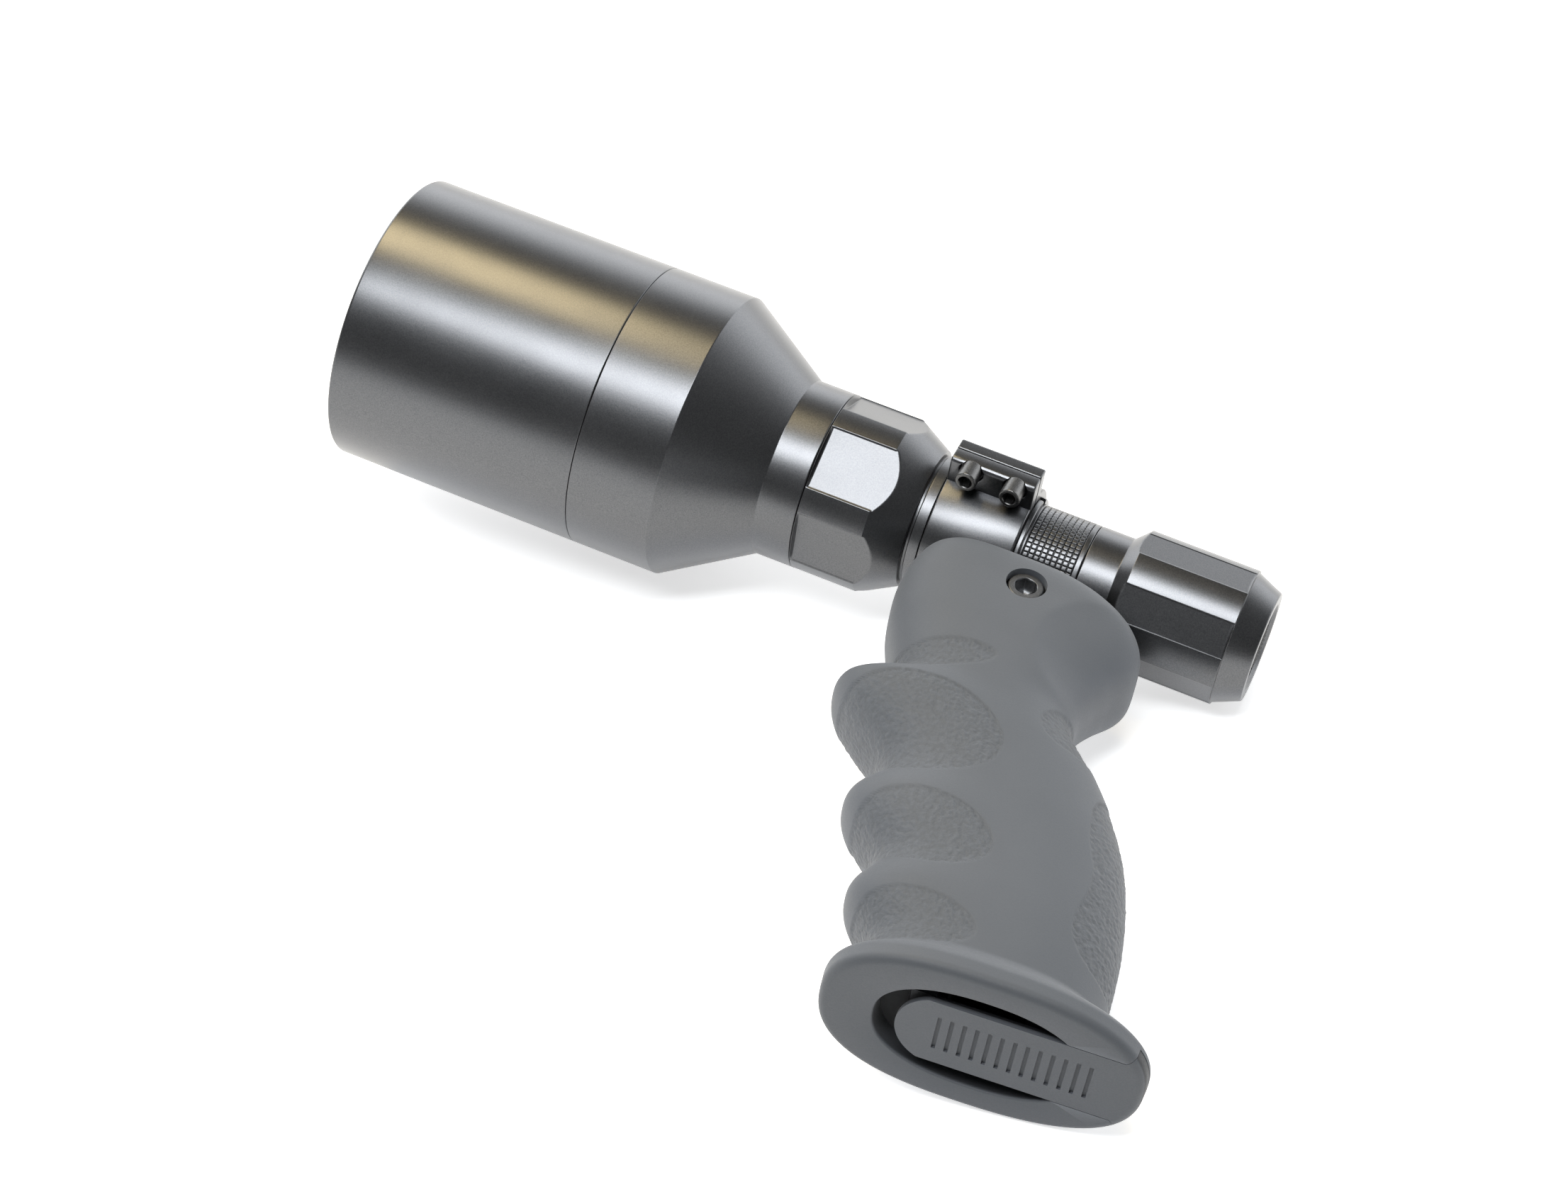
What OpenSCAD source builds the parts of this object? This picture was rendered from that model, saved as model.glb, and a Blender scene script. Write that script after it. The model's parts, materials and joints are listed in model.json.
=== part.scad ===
// Pistol-grip long-range spotlight: a 67 mm head on a one-inch battery tube, held by a
// split ring whose rail foot is clamped in a rubber-covered pistol grip.
//
// Every piece is drawn in the working frame: +X forward along the optical axis from the
// seam between hood and head body, +Z up and away from the grip, +Y to the left.
// resting_pose() then lays the whole tool on its right side, on its three contact points.

/* [Head] */
// Radius of the hood and of the head body behind it
head_r = 33.5; // [30:0.5:36]
// Length of the hood, from its front rim to the seam
hood_len = 60; // [50:1:70]
// Wall of the hood
hood_wall = 2.6; // [2.2:0.1:3]
// Length of the cylindrical part of the head body
body_len = 20; // [16:1:24]
// Length of the long cone from the head body to the neck
cone_len = 20.2; // [16:0.1:26]
// Radius of the neck, and of the round lands between its flats
neck_r = 20.9; // [20:0.1:22]
// Length of the plain neck in front of the flats
neck_len = 9.2; // [7:0.1:12]
// How far the hood slides forward to focus the beam
focus_travel = 10; // [4:1:12]

/* [Neck ring] */
// Length of the flats on the neck ring
flats_len = 15.6; // [12:0.1:18]
// Number of flats round the neck ring and round the tail cap
flat_count = 6; // [6:1:6]
// Half the angle that one flat of the neck ring spans, in degrees
neck_flat_half = 21; // [18:0.5:24]
// Length of the short cone behind the flats
rear_cone_len = 8.6; // [7:0.1:10]
// Radius where the short cone ends
rear_cone_r = 16.2; // [15.5:0.1:17]

/* [Tube and tail cap] */
// Radius of the battery tube: a one-inch tube
tube_r = 12.7; // [12.7:0.1:12.7]
// Radius of the tube's bore
bore_r = 9.6; // [9.4:0.1:9.8]
// Radius of the tail cap's round lands
cap_r = 15.8; // [15:0.1:16.5]
// Half the angle that one flat of the tail cap spans, in degrees
cap_flat_half = 15.2; // [12:0.1:18]
// How far the tail button travels when it is pressed
button_travel = 1.5; // [1:0.1:2]

/* [Ring clamp] */
// Outer radius of the ring
ring_r = 15.8; // [15.4:0.1:16.4]
// Width of the ring along the tube
ring_w = 20; // [18:1:22]
// Distance from the optical axis to the outer face of an ear
ear_y = 22.1; // [21.5:0.1:23]
// Height of the split between the two halves of the ring
split_z = 1.9; // [1.5:0.1:2.3]
// Spacing of the two screws on each side
screw_pitch = 10.4; // [10:0.1:11]

/* [Grip] */
// Half the width of the grip's upper part
grip_half_w = 17.2; // [17:0.1:18]
// Thickness of the rubber over the grip's core
rubber_t = 2.2; // [2:0.1:2.4]
// Half the width of the sliding cover in the grip's foot
cover_half_w = 8.8; // [8:0.1:9]
// How far the cover slides back
cover_travel = 24; // [20:1:24]

/* [Hidden] */

$fn = 96;
fit_gap = 0.05;          // between pieces screwed or pressed together
slide_gap = 0.3;         // between a moving piece and what it passes
overcut = 1;             // how far a cutting shape runs past the face it cuts

// Stations along the optical axis, from the front to the tail
x_rim = hood_len;
x_shoulder = -body_len;
x_neck = x_shoulder - cone_len;
x_flats = x_neck - neck_len;
x_lands_end = x_flats - flats_len;
x_collar = x_lands_end - rear_cone_len;
x_ring_front = x_collar - 3.4;
x_ring_rear = x_ring_front - ring_w;
x_knurl_front = x_ring_rear - 1.8;
x_knurl_rear = x_knurl_front - 11.8;
x_cap_front = x_knurl_rear - 1.4;
x_cap_cone = x_cap_front - 7.9;
x_cap_flats = x_cap_cone - (cap_r - tube_r);
x_cap_chamfer = x_cap_flats - 25.3;
x_tail = x_cap_chamfer - 6.2;

// Lens and spigot
spigot_len = focus_travel + 14;
spigot_r = head_r - hood_wall + 0.45;
hood_slide_r = spigot_r + 0.08;
hood_bore_r = head_r - hood_wall;
lens_r = hood_bore_r - 0.3;
lens_crown_x = x_rim - 1.2;
lens_sphere_r = 50;
lens_back_x = x_rim - 14.3;
lens_ring_x = x_rim - 9.6;

// Tail end
cap_lip_r = 9.5;
button_r = cap_lip_r - slide_gap - 0.05;
button_flange_r = 10.4;
plunger_x = x_tail + 6.5 + button_travel;
switch_board_r = 10.9;

// Grip
bolt_x = -104.5;
bolt_z = -25.8;
bolt_head_y = 12.8;      // where the bolt's head bears on the left jaw
bolt_head_r = 4.1;
bolt_head_h = 3.5;
bolt_shank_r = 2.45;
bolt_hole_r = 4.7;
grip_top_z = -16.6;
foot_mid_x = -137;
foot_z = -135.7;
foot_slope = 0.092;
foot_angle = atan(foot_slope);
foot_floor = 4.8;        // depth of the recess in the foot
grip_sides = 48;
grip_rise = 2.4;         // spacing of the sections of the rubber

// Height, front, back, half width and corner sharpness of the grip without its ridges
grip_stations = [
    [-16.6,  -83.4, -114.5, grip_half_w - 1.6, 3.9],
    [-17.4,  -81.2, -119.6, grip_half_w - 0.8, 3.9],
    [-19.0,  -79.4, -125.0, grip_half_w - 0.3, 3.9],
    [-22.0,  -78.2, -130.2, grip_half_w,       3.8],
    [-26.0,  -77.5, -133.4, grip_half_w,       3.6],
    [-31.0,  -77.6, -133.8, grip_half_w,       3.2],
    [-37.0,  -79.0, -131.2, grip_half_w - 0.2, 2.9],
    [-42.0,  -81.0, -129.0, grip_half_w - 0.6, 2.7],
    [-47.5,  -83.4, -127.2, grip_half_w - 1.0, 2.6],
    [-52.5,  -85.3, -127.3, grip_half_w - 1.2, 2.5],
    [-57.5,  -86.6, -130.8, grip_half_w - 1.4, 2.5],
    [-64.0,  -88.4, -137.2, grip_half_w - 1.4, 2.5],
    [-72.0,  -90.8, -143.4, grip_half_w - 1.5, 2.5],
    [-82.0,  -94.2, -149.2, grip_half_w - 1.6, 2.5],
    [-95.0,  -98.8, -153.8, grip_half_w - 1.8, 2.5],
    [-110.0, -104.0, -157.0, grip_half_w - 2.0, 2.5],
    [-126.0, -109.2, -158.6, grip_half_w - 2.2, 2.5],
    [foot_z, -111.3, -158.8, grip_half_w - 2.2, 2.5]
];
// Finger ridges: height of the crest, how far it stands out, reach upward and downward
finger_ridges = [
    [-61.6,  11.7,  8.0, 18.5],
    [-89.6,   6.8,  9.8, 13.0],
    [-111.2,  4.6,  8.6, 11.4]
];
// Foot flare: where it starts, and what it adds in front, behind and to each side
flare_top_z = -124.5;
flare_front = 7;
flare_back = 11.6;
flare_side = 4.3;
flare_round = 1.8;

function lerp(a, b, t) = a + (b - a) * t;
function clamp01(t) = max(0, min(1, t));
function ease(t) = let (c = clamp01(t)) c * c * (3 - 2 * c);
function signed_power(v, p) = v < 0 ? -pow(-v, p) : pow(v, p);

// Catmull-Rom interpolation of one column of the grip's stations
function station_at(z) =
    let (hits = [for (i = [0 : len(grip_stations) - 2]) if (z >= grip_stations[i + 1][0]) i])
    len(hits) > 0 ? hits[0] : len(grip_stations) - 2;
function grip_value(z, column) =
    let (
        last = len(grip_stations) - 1,
        i = station_at(z),
        p0 = grip_stations[max(i - 1, 0)],
        p1 = grip_stations[i],
        p2 = grip_stations[i + 1],
        p3 = grip_stations[min(i + 2, last)],
        span = p2[0] - p1[0],
        t = clamp01((z - p1[0]) / span),
        m1 = (p2[column] - p0[column]) / (p2[0] - p0[0]) * span,
        m2 = (p3[column] - p1[column]) / (p3[0] - p1[0]) * span
    )
    p1[column] * (2 * t * t * t - 3 * t * t + 1) + m1 * (t * t * t - 2 * t * t + t)
        + p2[column] * (3 * t * t - 2 * t * t * t) + m2 * (t * t * t - t * t);

function ridge_height(z) = max([for (r = finger_ridges)
    let (u = z > r[0] ? (z - r[0]) / r[2] : (r[0] - z) / r[3])
    u < 1 ? r[1] * (1 + cos(180 * u)) / 2 : 0]);
function flare_part(z) =
    let (u = clamp01((flare_top_z - z) / (flare_top_z - foot_z)))
    ease(u / 0.65);
function foot_round(z) =
    let (u = clamp01((flare_round - (z - foot_z)) / flare_round))
    flare_round * (1 - sqrt(1 - u * u));
function foot_tilt(z) = foot_slope * ease((z + 60) / (foot_z + 60));

// One section of the grip: "inset" shrinks it, "full" adds the ridges and the flare
function grip_section(z, inset, full) =
    let (
        front = grip_value(z, 1) - inset,
        back = grip_value(z, 2) + inset,
        half_w = grip_value(z, 3) - inset,
        power = 2 / grip_value(z, 4),
        middle = (front + back) / 2,
        reach = (front - back) / 2,
        flare = full ? flare_part(z) : 0,
        under = full ? foot_round(z) : 0,
        ridge = full ? ridge_height(z) : 0,
        tilt = foot_tilt(z)
    )
    [for (k = [0 : grip_sides - 1])
        let (
            a = 360 * k / grip_sides,
            c = cos(a),
            s = sin(a),
            turn = a > 180 ? 360 - a : a,
            fade = ease((100 - turn) / 80),
            grow_x = c > 0 ? flare_front : flare_back,
            x = middle + (reach + flare * grow_x - under) * signed_power(c, power) + ridge * fade * c,
            y = (half_w + flare * flare_side - under) * signed_power(s, power) + 0.3 * ridge * fade * s
        )
        [x, y, z - tilt * (x - foot_mid_x)]];

// Outline of the recess in the foot: round at the front, closing on the cover at the back
recess_front_x = -115.4;
recess_back_x = -158.0;
recess_half_w = 12.9;
function recess_ring(lift) =
    let (middle = (recess_front_x + recess_back_x) / 2, reach = (recess_front_x - recess_back_x) / 2)
    [for (k = [0 : grip_sides - 1])
        let (
            a = 360 * k / grip_sides,
            x = middle + reach * signed_power(cos(a), 2 / 2.3),
            y = recess_half_w * signed_power(sin(a), 2 / 2.3)
        )
        [x, y, foot_z + lift - foot_slope * (x - foot_mid_x)]];

// Closed solid from a list of rings of grip_sides points: capped, or joined end to end
module ring_solid(rings, hollow) {
    n = grip_sides;
    m = len(rings);
    points = [for (r = rings) each r];
    walls = [for (j = [0 : m - (hollow ? 1 : 2)])
        for (k = [0 : n - 1])
            let (
                a = j * n + k,
                b = j * n + (k + 1) % n,
                c = ((j + 1) % m) * n + (k + 1) % n,
                d = ((j + 1) % m) * n + k
            )
            each [[a, b, c], [a, c, d]]];
    caps = hollow ? [] : [[for (k = [n - 1 : -1 : 0]) k], [for (k = [0 : n - 1]) (m - 1) * n + k]];
    polyhedron(points, concat(walls, caps));
}

// Solid of revolution about the optical axis; each point is [radius, x]
module turned(profile) {
    rotate([0, 90, 0]) rotate_extrude() polygon(profile);
}
module rod(x0, x1, r) {
    translate([min(x0, x1), 0, 0]) rotate([0, 90, 0]) cylinder(h = abs(x1 - x0), r = r);
}
module seal(x, r, wire_r) {
    translate([x, 0, 0]) rotate([0, 90, 0]) rotate_extrude() translate([r, 0]) circle(r = wire_r, $fn = 24);
}
// Block that cuts one flat, "distance" from the axis, between two stations
module flat_cutter(x0, x1, distance, angle) {
    rotate([angle, 0, 0]) translate([x1, distance, -20]) cube([x0 - x1, 20, 40]);
}

// ---- resting pose ----
// The tool lies on the shoulder of its head, the rear edge of its tail cap and its foot.
lean = atan((head_r - cap_r) / (x_shoulder - x_cap_chamfer));
rest_height = head_r * cos(lean) - x_shoulder * sin(lean);
foot_points = [for (k = [0 : 16]) each grip_section(lerp(foot_z, flare_top_z, k / 16), 0, true)];
// Sideways and upward coordinates after a roll about the optical axis
function rolled_y(p, angle) = p[1] * cos(angle) - p[2] * sin(angle);
function rolled_z(p, angle) = p[1] * sin(angle) + p[2] * cos(angle);
function foot_clearance(angle) = min([for (p = foot_points)
    rest_height + p[0] * sin(lean) + rolled_y(p, angle) * cos(lean)]);
function better_roll(angle) = angle + atan(foot_clearance(angle) / (foot_z * cos(lean)));
roll = better_roll(better_roll(better_roll(0)));
// Centre of the bounding box on the table, in the leaned frame
front_reach = x_rim * cos(lean) + head_r * sin(lean);
foot_back = min([for (p = foot_points) p[0] * cos(lean) - rolled_y(p, roll) * sin(lean)]);
foot_far = min([for (p = foot_points) rolled_z(p, roll)]);
centre_x = (front_reach + foot_back) / 2;
centre_z = (head_r + foot_far) / 2;

module resting_pose() {
    rotate([0, 0, 180])
        translate([-centre_x, centre_z, rest_height])
        rotate([0, -lean, 0])
        rotate([90 + roll, 0, 0])
        children();
}

// ---- head ----
module hood() {
    color([0.10, 0.10, 0.11]) resting_pose() turned([
        [hood_slide_r, fit_gap], [head_r - 0.2, fit_gap], [head_r, 0.25],
        [head_r, x_rim - 0.6], [head_r - 0.6, x_rim], [hood_bore_r + 0.4, x_rim],
        [hood_bore_r, x_rim - 0.4], [hood_bore_r, lens_back_x - 1.7],
        [hood_bore_r - 2.6, lens_back_x - 1.7], [hood_bore_r - 2.6, lens_back_x - 3.7],
        [hood_bore_r, lens_back_x - 6.3], [hood_bore_r, spigot_len + 2],
        [hood_slide_r, spigot_len + 1.6]
    ]);
}
module front_lens() {
    color([0.75, 0.8, 0.85, 0.4]) resting_pose() intersection() {
        rod(lens_back_x, x_rim, lens_r);
        translate([lens_crown_x - lens_sphere_r, 0, 0]) sphere(r = lens_sphere_r);
    }
}
module lens_ring() {
    color([0.12, 0.12, 0.13]) resting_pose() difference() {
        turned([
            [28.2, lens_ring_x], [hood_bore_r - fit_gap, lens_ring_x],
            [hood_bore_r - fit_gap, lens_ring_x + 4], [29, lens_ring_x + 4], [28.2, lens_ring_x + 3.2]
        ]);
        for (side = [-1, 1])
            translate([lens_ring_x + 2.5, side * 29.5 - 2, -1.2]) cube([4, 4, 2.4]);
    }
}
module lens_seal() {
    color([0.05, 0.05, 0.05]) resting_pose() seal(lens_back_x - 0.85, lens_r - 1.2, 0.8);
}
module head_body() {
    color([0.10, 0.10, 0.11]) resting_pose() difference() {
        turned([
            [spigot_r - 3, spigot_len], [spigot_r - 0.6, spigot_len], [spigot_r, spigot_len - 0.6],
            [spigot_r, -0.2], [head_r - 0.2, -0.2], [head_r, -0.4], [head_r, x_shoulder],
            [neck_r, x_neck], [neck_r, x_flats + fit_gap], [17.5, x_flats + fit_gap],
            [17.5, x_neck + 2], [spigot_r - 3, x_shoulder + 3]
        ]);
        turned([
            [spigot_r - 1.2, 15], [head_r - 0.5, 15], [head_r - 0.5, 17], [spigot_r - 1.2, 17]
        ]);
    }
}
module spigot_seal() {
    color([0.05, 0.05, 0.05]) resting_pose() seal(16, spigot_r - 0.57, 0.6);
}
module led_pill() {
    color([0.72, 0.6, 0.35]) resting_pose() difference() {
        turned([
            [0, x_flats + 1], [17.4, x_flats + 1], [17.4, x_neck - 1], [12, x_neck - 1],
            [12, x_neck + 1], [0, x_neck + 1]
        ]);
        for (side = [-1, 1])
            translate([0, side * 5, 0]) rod(x_flats, x_neck + 2, 1);
    }
}
module led_board() {
    color([0.85, 0.85, 0.82]) resting_pose() difference() {
        rod(x_neck + 1, x_neck + 2.6, 10);
        for (k = [0 : 5])
            rotate([60 * k, 0, 0]) translate([0, 10, 0]) rod(x_neck, x_neck + 3.6, 1.6);
    }
}
module led_emitter() {
    color([0.95, 0.9, 0.6]) resting_pose() {
        translate([x_neck + 2.6, -2.5, -2.5]) cube([0.8, 5, 5]);
        intersection() {
            translate([x_neck + 3.2, 0, 0]) sphere(r = 2.2, $fn = 48);
            rod(x_neck + 3.3, x_neck + 6, 3);
        }
    }
}
module driver_board() {
    color([0.1, 0.35, 0.2]) resting_pose() {
        rod(x_flats - 2, x_flats - 3.2, 10.5);
        translate([x_flats - 2.1, -6, 2]) cube([2.4, 5, 3.5]);
        translate([x_flats - 2.1, 1, -5]) cube([1.8, 4, 4]);
        rod(x_flats - 3.1, x_flats - 5, 2.5);
    }
}

// ---- neck ring, tube and what is in it ----
module neck_ring() {
    color([0.11, 0.11, 0.12]) resting_pose() difference() {
        turned([
            [17.4, x_flats + 0.95], [17.4, x_flats - fit_gap], [neck_r, x_flats - fit_gap],
            [neck_r, x_lands_end], [rear_cone_r, x_collar], [rear_cone_r - 1.4, x_collar - 0.1],
            [rear_cone_r - 1.4, x_collar - 0.7], [rear_cone_r - 0.8, x_collar - 0.8],
            [rear_cone_r - 0.8, x_collar - 2.5], [rear_cone_r - 1.1, x_collar - 2.8],
            [tube_r - 0.4 + fit_gap, x_collar - 2.8], [tube_r - 0.4 + fit_gap, x_flats - 10.6],
            [bore_r, x_flats - 10.6], [bore_r, x_flats - 3.3], [12, x_flats - 3.3],
            [12, x_flats + 0.95]
        ]);
        for (k = [0 : flat_count - 1])
            flat_cutter(x_flats - 0.5, x_lands_end - 4, neck_r * cos(neck_flat_half), 27 + 60 * k);
    }
}
knurl_columns = 9;
knurl_depth = 0.35;
knurl_groove = 0.3;
module battery_tube() {
    color([0.12, 0.12, 0.13]) resting_pose() difference() {
        turned([
            [bore_r, x_flats - 10.7], [tube_r - 0.4, x_flats - 10.7], [tube_r - 0.4, x_collar - 2.9],
            [tube_r, x_collar - 2.9], [tube_r, x_cap_front + fit_gap],
            [tube_r - 1.2, x_cap_front + fit_gap], [tube_r - 1.2, x_cap_front - 6.5],
            [bore_r, x_cap_front - 6.5]
        ]);
        for (k = [0 : knurl_columns])
            let (x = lerp(x_knurl_front, x_knurl_rear, k / knurl_columns))
            turned([
                [tube_r - knurl_depth, x - knurl_groove / 2], [tube_r + overcut, x - knurl_groove / 2],
                [tube_r + overcut, x + knurl_groove / 2], [tube_r - knurl_depth, x + knurl_groove / 2]
            ]);
        turned([
            [tube_r - 1.9, x_cap_front - 2.6], [tube_r, x_cap_front - 2.6],
            [tube_r, x_cap_front - 4], [tube_r - 1.9, x_cap_front - 4]
        ]);
    }
}
module battery_cell() {
    color([0.2, 0.35, 0.6]) resting_pose() {
        rod(x_flats - 6, x_flats - 70.5, 9.2);
        rod(x_flats - 5.05, x_flats - 6.1, 3);
    }
}
module tube_seal() {
    color([0.05, 0.05, 0.05]) resting_pose() seal(x_cap_front - 3.3, tube_r - 1.54, 0.34);
}
sleeve_slot_angle = 28;
sleeve_slot_w = 2.2;
sleeve_r = tube_r + 0.7;
sleeve_flange_r = tube_r + 1.6;
module tube_sleeve() {
    color([0.16, 0.16, 0.17]) resting_pose() difference() {
        turned([
            [tube_r + 0.02, x_ring_front], [sleeve_r, x_ring_front],
            [sleeve_r, x_ring_rear - fit_gap], [sleeve_flange_r, x_ring_rear - fit_gap],
            [sleeve_flange_r, x_knurl_front + 0.25], [tube_r + 0.02, x_knurl_front + 0.25]
        ]);
        rotate([sleeve_slot_angle, 0, 0])
            translate([x_knurl_front - overcut, 0, -sleeve_slot_w / 2]) cube([ring_w + 5, 20, sleeve_slot_w]);
    }
}

// ---- tail cap and switch ----
module tail_cap() {
    color([0.11, 0.11, 0.12]) resting_pose() difference() {
        turned([
            [tube_r - 1.15, x_cap_front - fit_gap], [tube_r, x_cap_front - fit_gap],
            [tube_r, x_cap_cone], [cap_r, x_cap_flats], [cap_r, x_cap_chamfer],
            [cap_r - 0.5, x_cap_chamfer - 0.1], [12.7, x_tail], [cap_lip_r + 0.8, x_tail],
            [cap_lip_r, x_tail + 0.8], [cap_lip_r, x_tail + 4.3], [11, x_tail + 4.3],
            [11, x_tail + 20], [bore_r + 0.3, x_tail + 20], [bore_r + 0.3, x_cap_front - 6.6],
            [tube_r - 1.15, x_cap_front - 6.6]
        ]);
        for (k = [0 : flat_count - 1])
            flat_cutter(x_cap_flats + 2, x_cap_chamfer, cap_r * cos(cap_flat_half), 7.5 + 60 * k);
    }
}
function helix_point(t, coils, r, x0, x1) = [lerp(x0, x1, t), r * cos(360 * coils * t), r * sin(360 * coils * t)];
module tail_spring() {
    coils = 5;
    steps = 70;
    coil_r = 4.6;
    wire_r = 0.5;
    sides = 8;
    x0 = x_flats - 71.2;
    x1 = x_tail + 20.6;
    points = [for (i = [0 : steps])
        let (
            t = i / steps,
            a = 360 * coils * t,
            centre = helix_point(t, coils, coil_r, x0, x1)
        )
        for (k = [0 : sides - 1])
            let (b = 360 * k / sides)
            centre + wire_r * [sin(b), cos(b) * cos(a), cos(b) * sin(a)]];
    walls = [for (i = [0 : steps - 1])
        for (k = [0 : sides - 1])
            let (
                a = i * sides + k,
                b = i * sides + (k + 1) % sides,
                c = (i + 1) * sides + (k + 1) % sides,
                d = (i + 1) * sides + k
            )
            each [[a, c, b], [a, d, c]]];
    caps = [[for (k = [0 : sides - 1]) k], [for (k = [sides - 1 : -1 : 0]) steps * sides + k]];
    color([0.8, 0.75, 0.55]) resting_pose() polyhedron(points, concat(walls, caps));
}
module switch_module() {
    color([0.1, 0.3, 0.25]) resting_pose() {
        rod(x_tail + 19.9, x_tail + 18.6, switch_board_r);
        rod(x_tail + 18.7, x_tail + 11, 7);
        rod(x_tail + 11.1, plunger_x, 2.2);
    }
}
module switch_ring() {
    color([0.7, 0.7, 0.72]) resting_pose() difference() {
        rod(x_tail + 18.5, x_tail + 12, switch_board_r + fit_gap);
        rod(x_tail + 19.5, x_tail + 11, 7.6);
        for (side = [-1, 1])
            translate([0, side * 9.3, 0]) rod(x_tail + 11, x_tail + 14.5, 0.8);
    }
}
module tail_button() {
    color([0.07, 0.07, 0.07]) resting_pose() turned([
        [0, x_tail + 3.4], [0, x_tail + 0.3], [button_r - 2.5, x_tail + 0.5],
        [button_r - 0.6, x_tail + 0.9], [button_r, x_tail + 1.6], [button_r, x_tail + 4.6],
        [button_flange_r, x_tail + 4.6], [button_flange_r, x_tail + 5.6],
        [button_r - 1.5, x_tail + 5.6], [button_r - 1.5, x_tail + 3.4]
    ]);
}

// ---- ring clamp ----
ear_top_z = 5.7;
ear_bottom_z = -2;
ear_round = 0.8;
screw_y = 20.1;
screw_head_r = 2.45;
screw_head_h = 3.9;
screw_xs = [for (side = [-1, 1]) (x_ring_front + x_ring_rear) / 2 - 0.3 + side * screw_pitch / 2];

module ear_blocks(z0, z1) {
    for (side = [-1, 1])
        translate([x_ring_rear, side > 0 ? ring_r - 5 : -ear_y, z0])
            cube([ring_w, ear_y - ring_r + 5, z1 - z0]);
}
module ring_half(z0, z1) {
    intersection() {
        rod(x_ring_front, x_ring_rear, ring_r);
        translate([x_ring_rear - overcut, -30, z0]) cube([ring_w + 2 * overcut, 60, z1 - z0]);
    }
}
module ring_bore() {
    rod(x_ring_front + overcut, x_ring_rear - overcut, sleeve_r + 0.02);
}
module ring_cap() {
    color([0.12, 0.12, 0.13]) resting_pose() difference() {
        union() {
            ring_half(split_z + 0.25, ring_r);
            ear_blocks(split_z + 0.25, ear_top_z);
        }
        ring_bore();
        for (x = screw_xs, side = [-1, 1])
            translate([x, side * screw_y, 0]) cylinder(h = ear_top_z - 0.8, r = 1.25);
    }
}
rail_front_x = -86.4;
rail_back_x = -113;
rail_length = rail_front_x - rail_back_x;
module rail_profile() {
    polygon([
        [-8.2, -12], [-8.2, -18.2], [-10.6, -20.8], [-10.6, -22.6], [-8, -25.4],
        [8, -25.4], [10.6, -22.6], [10.6, -20.8], [8.2, -18.2], [8.2, -12]
    ]);
}
// Extrudes a shape drawn in Y and Z along X
module along_x(x0, length) {
    translate([x0, 0, 0]) rotate([90, 0, 90]) linear_extrude(height = length) children();
}
module ring_base() {
    color([0.12, 0.12, 0.13]) resting_pose() difference() {
        union() {
            ring_half(-ring_r, split_z);
            ear_blocks(ear_bottom_z, split_z);
            intersection() {
                along_x(rail_back_x, rail_length) rail_profile();
                union() {
                    translate([x_ring_rear, -15, -18.2]) cube([rail_front_x - x_ring_rear, 30, 18.2]);
                    translate([rail_back_x, -15, -30]) cube([rail_length, 30, 12.2]);
                }
            }
        }
        ring_bore();
        translate([bolt_x - 2.8, -15, -30]) cube([5.6, 30, 7]);
        for (x = screw_xs, side = [-1, 1])
            translate([x, side * screw_y, ear_bottom_z - overcut]) {
                cylinder(h = 2, r = 3);
                cylinder(h = 8, r = 1.6);
            }
    }
}
module ring_screws() {
    color([0.3, 0.3, 0.31]) resting_pose()
        for (x = screw_xs, side = [-1, 1])
            translate([x, side * screw_y, 0]) difference() {
                union() {
                    translate([0, 0, ear_bottom_z - screw_head_h])
                        cylinder(h = screw_head_h + 1, r = screw_head_r);
                    translate([0, 0, ear_bottom_z + 0.9]) cylinder(h = 5.6, r = 1.2);
                }
                translate([0, 0, ear_bottom_z - screw_head_h - overcut])
                    cylinder(h = 3.2, r = 1.45, $fn = 6);
            }
}

// ---- grip ----
core_gap = 0.05;
function core_heights() = [for (k = [0 : 24]) lerp(grip_top_z - 1, foot_z + foot_floor, k / 24)];
module core_solid() {
    ring_solid([for (z = core_heights()) grip_section(z, rubber_t + core_gap, false)], false);
}
// Channel in the top of the grip that takes the rail foot and the two jaws
module rail_channel() {
    translate([rail_back_x - 0.5, -bolt_head_y, -32])
        cube([rail_length + 1, 2 * bolt_head_y, 40]);
}
// Compartment for small spares, reached from the foot
store_front_x = -127.5;
store_back_x = -143.5;
store_half_w = 8;
store_top_z = -92;
// Lug on the cover, and the undercut channel in the core that it slides in
lug_front = 15.4;
lug_length = 5;
lug_neck_w = 7.6;
lug_tee_w = 9.3;
lug_neck_top = 6.6;
lug_tee_top = 8.2;
module cover_channel() {
    x0 = lug_front - lug_length - cover_travel - slide_gap;
    length = lug_length + cover_travel + 2 * slide_gap;
    neck_w = lug_neck_w + slide_gap;
    tee_w = lug_tee_w + slide_gap;
    foot_frame() {
        translate([x0, -neck_w, foot_floor - 2]) cube([length, 2 * neck_w, lug_neck_top - foot_floor + 2]);
        translate([x0, -tee_w, lug_neck_top - slide_gap])
            cube([length, 2 * tee_w, lug_tee_top - lug_neck_top + 2 * slide_gap]);
    }
}
module grip_core() {
    color([0.15, 0.15, 0.16]) resting_pose() difference() {
        core_solid();
        rail_channel();
        translate([store_back_x, -store_half_w, foot_z - 10])
            cube([store_front_x - store_back_x, 2 * store_half_w, store_top_z - foot_z + 10]);
        cover_channel();
        translate([bolt_x, 0, bolt_z]) rotate([90, 0, 0]) cylinder(h = 60, r = bolt_hole_r, center = true);
    }
}
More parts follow.
